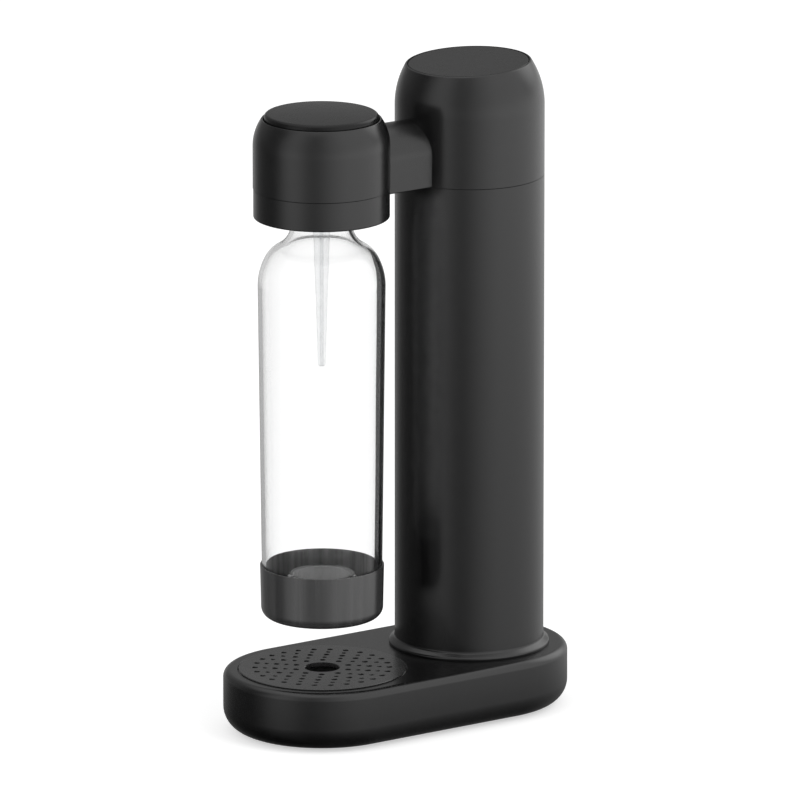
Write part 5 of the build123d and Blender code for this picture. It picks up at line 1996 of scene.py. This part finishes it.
@dataclass
class Screws:
    """Pan-head screws that show under the base and under the collar."""

    head_radius: float = 2.75
    head_height: float = 1.3
    head_round: float = 0.55
    seat_round: float = 0.1
    shank_radius: float = 1.5
    shank_round: float = 0.3
    slot_width: float = 0.7
    slot_depth: float = 0.65
    segments: int = 32
    round_steps: int = 4
    base_length: float = 4.6
    base_seat: float = 2.4
    base_across: tuple[float, float] = (-43.0, 43.0)
    base_along: tuple[float, float, float] = (-40.0, 0.0, 40.0)
    collar_length: float = 17.0
    collar_seat: float = 339.0
    collar_spread: float = 35.0
    collar_angles: tuple[float, float, float] = (30.0, 150.0, 270.0)

    def cross(self) -> bpy.types.Object:
        """Model the cross that is cut into a head.

        Returns:
            A working object, which isn't a piece.
        """
        shape = bmesh.new()
        place = Matrix.Translation(Vector((0.0, 0.0, -self.head_height)) * MM)
        for x, y in ((self.head_radius, self.slot_width), (self.slot_width, self.head_radius)):
            stretch = Matrix.Diagonal((x * MM, y * MM, 2 * self.slot_depth * MM, 1.0))
            bmesh.ops.create_cube(shape, size=1.0, matrix=place @ stretch)
        return linked_object("screw_cross", mesh_from(shape, "screw_cross"))

    def screw(self, shop: Workshop, length: float) -> bpy.types.Object:
        """Model one screw, head down on the origin.

        Args:
            shop: The workshop.
            length: Length of the shank.

        Returns:
            A working object, which isn't a piece.
        """
        corners: list[Corner] = [
            (0.0, -self.head_height, 0.0),
            (self.head_radius, -self.head_height, self.head_round),
            (self.head_radius, 0.0, self.seat_round),
            (self.shank_radius, 0.0, 0.0),
            (self.shank_radius, length, self.shank_round),
            (0.0, length, 0.0),
        ]
        section = soften(corners, self.round_steps)
        mesh = shop.lathe.turn(section, Vector(), shop.finishes.get(Slot.STEEL), self.segments)
        holder = linked_object("screw_work", mesh)
        cutter = self.cross()
        cut = holder.modifiers.new("cross", "BOOLEAN")
        cut.object = cutter
        cut.use_self = True
        finished = evaluated_mesh(holder)
        bpy.data.objects.remove(cutter)
        return linked_object("screw_work", finished)

    def set_on(self, shop: Workshop, name: str, spots: Sequence[Vector], length: float, node: str) -> None:
        """Set screws on their seats and place them.

        Args:
            shop: The workshop.
            name: Name of the piece.
            spots: Undersides of the heads' seats, in millimetres.
            length: Length of the shanks.
            node: CAD node that they stand for.
        """
        screw = self.screw(shop, length)
        points = bpy.data.meshes.new("screw_spots")
        points.from_pydata([tuple(spot * MM) for spot in spots], [], [])
        holder = linked_object("screw_spots", points)
        shop.screw_setter.attach(holder, {"Screw": screw, "Material": shop.finishes.get(Slot.STEEL)})
        mesh = evaluated_mesh(holder)
        bpy.data.objects.remove(screw)
        shop.place(name, tidy(mesh), Slot.STEEL, Body.STAND, [node])

    def build(self, shop: Workshop) -> None:
        """Set the six screws under the base and the three under the collar.

        Args:
            shop: The workshop.
        """
        under_base = [Vector((x, y, self.base_seat)) for x in self.base_across for y in self.base_along]
        under_collar = [
            polar(BOTTLE_AXIS, self.collar_spread, math.radians(angle), self.collar_seat)
            for angle in self.collar_angles
        ]
        self.set_on(shop, "base_screw_set", under_base, self.base_length, "base_screws")
        self.set_on(shop, "collar_screw_set", under_collar, self.collar_length, "collar_screws")


@dataclass(frozen=True)
class Spring:
    """Coil spring wound at one length between two parts."""

    name: str
    node: str
    foot: Vector
    length: float
    radius: float
    turns: float
    wire: float
    foot_body: Body
    far_body: Body
    lean: float = 0.0
    slip: float = 0.05

    def build(self, shop: Workshop) -> None:
        """Wind the coil and set it in place.

        Args:
            shop: The workshop.
        """
        along = Vector((0.0, -math.sin(self.lean), math.cos(self.lean)))
        seat = self.wire + self.slip
        values = {
            "Turns": self.turns,
            "Coil Radius": self.radius * MM,
            "Climb": (self.length - 2 * seat) * MM,
            "Wire Radius": self.wire * MM,
            "Foot": (self.foot + along * seat) * MM,
            "Lean": self.lean,
            "Material": shop.finishes.get(Slot.STEEL),
        }
        holder = linked_object("coil_work", bpy.data.meshes.new("coil_work"))
        shop.coil_winder.attach(holder, values)
        coil = shop.dress(self.name, tidy(evaluated_mesh(holder)), Slot.STEEL, [self.node])
        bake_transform(coil)


SPRINGS = (
    Spring(
        "button_coil",
        "button_spring",
        foot=BOTTLE_AXIS + Vector((0.0, 0.0, 385.0)),
        length=16.0,
        radius=9.5,
        turns=5.0,
        wire=0.7,
        foot_body=Body.STAND,
        far_body=Body.BUTTON,
    ),
    Spring(
        "valve_pin_coil",
        "valve_pin_spring",
        foot=COLUMN_AXIS + Vector((0.0, 0.0, 360.5)),
        length=12.1,
        radius=3.6,
        turns=5.0,
        wire=0.4,
        foot_body=Body.STAND,
        far_body=Body.PIN,
    ),
    Spring(
        "seal_coil",
        "seal_spring",
        foot=BOTTLE_AXIS + Vector((0.0, 0.0, 351.0)),
        length=5.0,
        radius=15.5,
        turns=2.5,
        wire=0.45,
        foot_body=Body.SEAL,
        far_body=Body.STAND,
    ),
    Spring(
        "relief_coil",
        "relief_spring",
        foot=BOTTLE_AXIS + Vector((0.0, -15.05, 364.0)),
        length=7.95,
        radius=2.2,
        turns=6.0,
        wire=0.3,
        foot_body=Body.RELIEF,
        far_body=Body.STAND,
        lean=math.pi / 2,
    ),
)


@dataclass(frozen=True)
class Lamp:
    """Large square lamp, placed in metres to the camera's right, towards the camera and up."""

    name: str
    right: float
    front: float
    up: float
    size: float
    power: float


LAMPS = (
    Lamp("key_lamp", right=1.6, front=1.1, up=2.0, size=1.6, power=18.0),
    Lamp("fill_lamp", right=-1.7, front=1.3, up=1.6, size=1.5, power=9.0),
)


@dataclass
class Studio:
    """Camera at the photograph's angle, white floor and soft studio light, in metres."""

    azimuth: float = 54.748
    elevation: float = 14.347
    distance: float = 8.741
    lens: float = 614.51
    sensor: float = 36.0
    clip_end: float = 60.0
    target: tuple[float, float, float] = (0.0, 0.0, 0.190722)
    aim_right: float = 0.00266
    aim_up: float = 0.01755
    lamp_target: tuple[float, float, float] = (0.0, 0.0, 0.2)
    floor_half: float = 7.0
    floor_tone: float = 0.8
    floor_lift: float = 0.54
    floor_reach: float = 1.6
    ambient: float = 0.8
    panel_gain: float = 1.18
    panel_fade: Point = (-0.9, -0.25)
    panel_fade_levels: Point = (0.12, 1.0)
    horizon: Point = (-0.05, 0.12)
    ceiling: Point = (0.55, 0.9)
    backdrop_span: Point = (-0.5, 0.5)
    backdrop_levels: Point = (0.24, 0.46)
    backdrop_edge: Point = (-0.6, 0.0)
    box_right: float = 0.67
    box_front: float = -0.56
    box_up: float = 0.485
    box_edge: Point = (0.8, 0.97)
    box_levels: Point = (0.0, 1.7)
    clear_share: float = 0.75
    wall_crossings: float = 3.5

    def axes(self) -> tuple[Vector, Vector, Vector]:
        """Directions of the camera.

        Returns:
            Its right, its up and its back.
        """
        a, e = math.radians(self.azimuth), math.radians(self.elevation)
        back = Vector((math.sin(a) * math.cos(e), -math.cos(a) * math.cos(e), math.sin(e)))
        right = Vector((math.cos(a), math.sin(a), 0.0))
        return right, back.cross(right), back

    def aim(self, right: float, front: float, up: float) -> Vector:
        """Make a vector from its parts as the camera sees them.

        Args:
            right: Part to the camera's right.
            front: Level part towards the camera.
            up: Part straight up.

        Returns:
            The vector.
        """
        camera_right, _, back = self.axes()
        level = Vector((back.x, back.y, 0.0)).normalized()
        return camera_right * right + level * front + Vector((0.0, 0.0, up))

    def place_camera(self) -> None:
        """Create the camera and make it the scene's own."""
        right, up, back = self.axes()
        data = bpy.data.cameras.new("photo_camera")
        data.lens = self.lens
        data.sensor_width = self.sensor
        data.clip_end = self.clip_end
        camera = bpy.data.objects.new("photo_camera", data)
        aim = Vector(self.target) + right * self.aim_right + up * self.aim_up
        turn = Matrix((right, up, back)).transposed()
        camera.matrix_world = Matrix.Translation(aim + back * self.distance) @ turn.to_4x4()
        bpy.context.scene.collection.objects.link(camera)
        bpy.context.scene.camera = camera

    def lay_floor(self) -> None:
        """Lay a white floor that keeps the object's shadow."""
        shape = bmesh.new()
        bmesh.ops.create_grid(shape, x_segments=1, y_segments=1, size=self.floor_half)
        mesh = mesh_from(shape, "studio_floor")
        material = bpy.data.materials.new("white_floor")
        material.use_nodes = True
        sheet = NodeSheet(material.node_tree)
        tone = (self.floor_tone, self.floor_tone, self.floor_tone, 1.0)
        paint = sheet.add("ShaderNodeBsdfDiffuse", {"Color": tone}).outputs[0]
        path = sheet.add("ShaderNodeLightPath").outputs
        straight = sheet.math("MAXIMUM", path["Is Camera Ray"], path["Is Transmission Ray"])
        seen = sheet.math("MULTIPLY", straight, self.floor_lift)
        lift = sheet.add("ShaderNodeEmission", {"Strength": seen}).outputs[0]
        both = sheet.add("ShaderNodeAddShader", {0: paint, 1: lift}).outputs[0]
        # Painted contact shadow: for glossy rays the floor is a filter that darkens towards the base.
        veil = sheet.add("ShaderNodeBsdfTransparent", {"Color": self.painted_floor_shade(sheet)}).outputs[0]
        whole = sheet.add("ShaderNodeMixShader", {0: path["Glossy Depth"], 1: both, 2: veil})
        sheet.add("ShaderNodeOutputMaterial", {"Surface": whole.outputs[0]})
        mesh.materials.append(material)
        linked_object("studio_floor", mesh)

    def painted_floor_shade(self, sheet: NodeSheet) -> Socket:
        """Painted contact shadow seen in reflections: how much of the panels the gloss sees by way of the
        floor, less the nearer to the base.

        Args:
            sheet: Sheet of the floor's material.

        Returns:
            The share as a grey.
        """
        parts = sheet.split(sheet.add("ShaderNodeTexCoord").outputs["Object"])
        beyond = sheet.math("SUBTRACT", sheet.math("ABSOLUTE", parts["Y"]), Base.half_span * MM)
        across = sheet.vector({"X": parts["X"], "Y": sheet.math("MAXIMUM", beyond, 0.0)})
        length = sheet.vector_math("LENGTH", across)["Value"]
        gap = sheet.math("SUBTRACT", length, Base.half_width * MM)
        stops = [(distance / self.floor_reach, level) for distance, level in self.painted_shade_levels()]
        return sheet.ramp(sheet.math("DIVIDE", gap, self.floor_reach), stops, "LINEAR")

    def painted_shade_levels(self) -> list[Point]:
        """Levels of the painted contact shadow: share of the panels that shows by way of the floor.

        Returns:
            Distances from the base in metres, each with its share.
        """
        return [
            (0.004, 0.3),
            (0.03, 0.34),
            (0.06, 0.4),
            (0.09, 0.5),
            (0.13, 0.6),
            (0.39, 0.65),
            (0.8, 0.72),
            (1.1, 0.77),
            (1.5, 1.0),
        ]

    def set_world(self) -> None:
        """Set a white background, and round the object the light that its gloss shows."""
        world = bpy.data.worlds.new("studio_world")
        bpy.context.scene.world = world
        world.use_nodes = True
        sheet = NodeSheet(world.node_tree)
        path = sheet.add("ShaderNodeLightPath").outputs
        glossed = sheet.math("MINIMUM", path["Glossy Depth"], 1.0)
        clear = sheet.math("MULTIPLY", path["Is Transmission Ray"], sheet.math("SUBTRACT", 1.0, glossed))
        seen = sheet.math("MAXIMUM", path["Is Camera Ray"], clear)
        crossed = path["Transmission Depth"]
        inside = sheet.math("MINIMUM", crossed, 1.0)
        one_wall = sheet.math("MULTIPLY", inside, sheet.math("LESS_THAN", crossed, self.wall_crossings))
        whitened = sheet.math("MULTIPLY", one_wall, self.clear_share)
        shown = sheet.blend(whitened, self.gloss_light(sheet), 1.0)
        strength = sheet.math("MAXIMUM", sheet.blend(glossed, self.ambient, shown), seen)
        glow = sheet.add("ShaderNodeBackground", {"Strength": strength})
        sheet.add("ShaderNodeOutputWorld", {"Surface": glow.outputs[0]})

    def gloss_light(self, sheet: NodeSheet) -> Socket:
        """Light that the gloss shows: panels below and around, a backdrop, a ceiling and a soft box.

        Args:
            sheet: Sheet of the world.

        Returns:
            The light's level.
        """
        direction = sheet.add("ShaderNodeTexCoord").outputs["Generated"]
        parts = sheet.split(direction)
        panels = self.panels(sheet, parts)
        fade = sheet.remap(parts["Z"], self.panel_fade, self.panel_fade_levels)
        lower = sheet.math("MULTIPLY", panels, sheet.math("MULTIPLY", fade, self.panel_gain))
        sideways = sheet.toward(direction, self.aim(1.0, 0.0, 0.0))
        backdrop = sheet.remap(sideways, self.backdrop_span, self.backdrop_levels)
        frontal = sheet.toward(direction, self.aim(0.0, 1.0, 0.0))
        around = sheet.blend(sheet.remap(frontal, self.backdrop_edge, UNIT), backdrop, panels)
        overhead = sheet.remap(parts["Z"], self.ceiling, UNIT)
        box_aim = self.aim(self.box_right, self.box_front, self.box_up).normalized()
        box = sheet.remap(sheet.toward(direction, box_aim), self.box_edge, self.box_levels)
        above = sheet.math("MAXIMUM", sheet.math("MAXIMUM", around, overhead), box)
        return sheet.blend(sheet.remap(parts["Z"], self.horizon, UNIT), lower, above)

    def panels(self, sheet: NodeSheet, parts: bpy.types.NodeOutputs) -> Socket:
        """Light of the panels all round the object.

        Args:
            sheet: Sheet of the world.
            parts: Outputs X, Y and Z of the direction.

        Returns:
            The light's level.
        """
        bearing = sheet.math("ARCTAN2", parts["Y"], parts["X"])
        camera_bearing = math.radians(self.azimuth - 90.0)
        offset = sheet.math("SUBTRACT", bearing, camera_bearing + math.pi)
        share = sheet.math("FRACT", sheet.math("DIVIDE", offset, math.tau))
        stops = [((place + 180.0) / 360.0, level) for place, level in self.panel_levels()]
        return sheet.ramp(share, stops, "B_SPLINE")

    def panel_levels(self) -> list[Point]:
        """Brightness of the panels.

        Returns:
            Bearings from the camera in degrees to the right, each with its level.
        """
        return [
            (-178.0, 0.7),
            (-150.0, 0.45),
            (-130.0, 0.15),
            (-95.0, 0.08),
            (-78.0, 0.14),
            (-64.0, 0.62),
            (-48.0, 0.8),
            (-34.0, 0.62),
            (-20.0, 0.34),
            (-6.0, 0.34),
            (10.0, 0.62),
            (30.0, 0.88),
            (60.0, 1.1),
            (120.0, 1.1),
            (150.0, 0.85),
            (178.0, 0.7),
        ]

    def hang_lamps(self) -> None:
        """Hang the large soft lamps: a key on the right and a fill on the left."""
        for lamp in LAMPS:
            data = bpy.data.lights.new(lamp.name, "AREA")
            data.shape = "SQUARE"
            data.size = lamp.size
            data.energy = lamp.power
            holder = bpy.data.objects.new(lamp.name, data)
            place = self.aim(lamp.right, lamp.front, lamp.up)
            facing = (place - Vector(self.lamp_target)).to_track_quat("Z", "Y")
            holder.matrix_world = Matrix.Translation(place) @ facing.to_matrix().to_4x4()
            holder.visible_glossy = False
            holder.visible_transmission = False
            bpy.context.scene.collection.objects.link(holder)

    def build(self) -> None:
        """Set up the camera, the floor, the world and the lamps."""
        self.place_camera()
        self.lay_floor()
        self.set_world()
        self.hang_lamps()
        bpy.context.scene.view_settings.view_transform = "Standard"


def dress_nodes(frame: dict, shop: Workshop) -> None:
    """Give every CAD node its slot's finish, and the tray's bowl a pale grey that paints in light where it
    lies in the plate's shade.

    Args:
        shop: The workshop.
    """
    for subpart in frame["record"]["subparts"]:
        node = frame["nodes"][subpart["node"]]
        slot = Slot(subpart["material_slot"])
        # The bowl takes the pale grey that paints light into its shade.
        material = BOWL_PAINTED_LIGHT.material() if subpart["node"] == "drip_tray_cup" else shop.finishes.get(slot)
        node.data.materials.clear()
        node.data.materials.append(material)


def main() -> None:
    """Build the sub-assemblies in order, then the studio round them."""
    logging.basicConfig(level=logging.INFO, format="%(message)s")
    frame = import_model()
    shop = Workshop()
    dress_nodes(frame, shop)
    Base().build(shop)
    DripTray().build(shop)
    column = Column()
    column.build(shop)
    ColumnHead().build(shop)
    head = BottleHead()
    head.build(shop)
    BridgeArm().build(shop, column, head)
    Bottle().build(shop)
    Nozzle().build(shop)
    Screws().build(shop)
    for spring in SPRINGS:
        spring.build(shop)
    Studio().build()


if __name__ == "__main__":
    main()
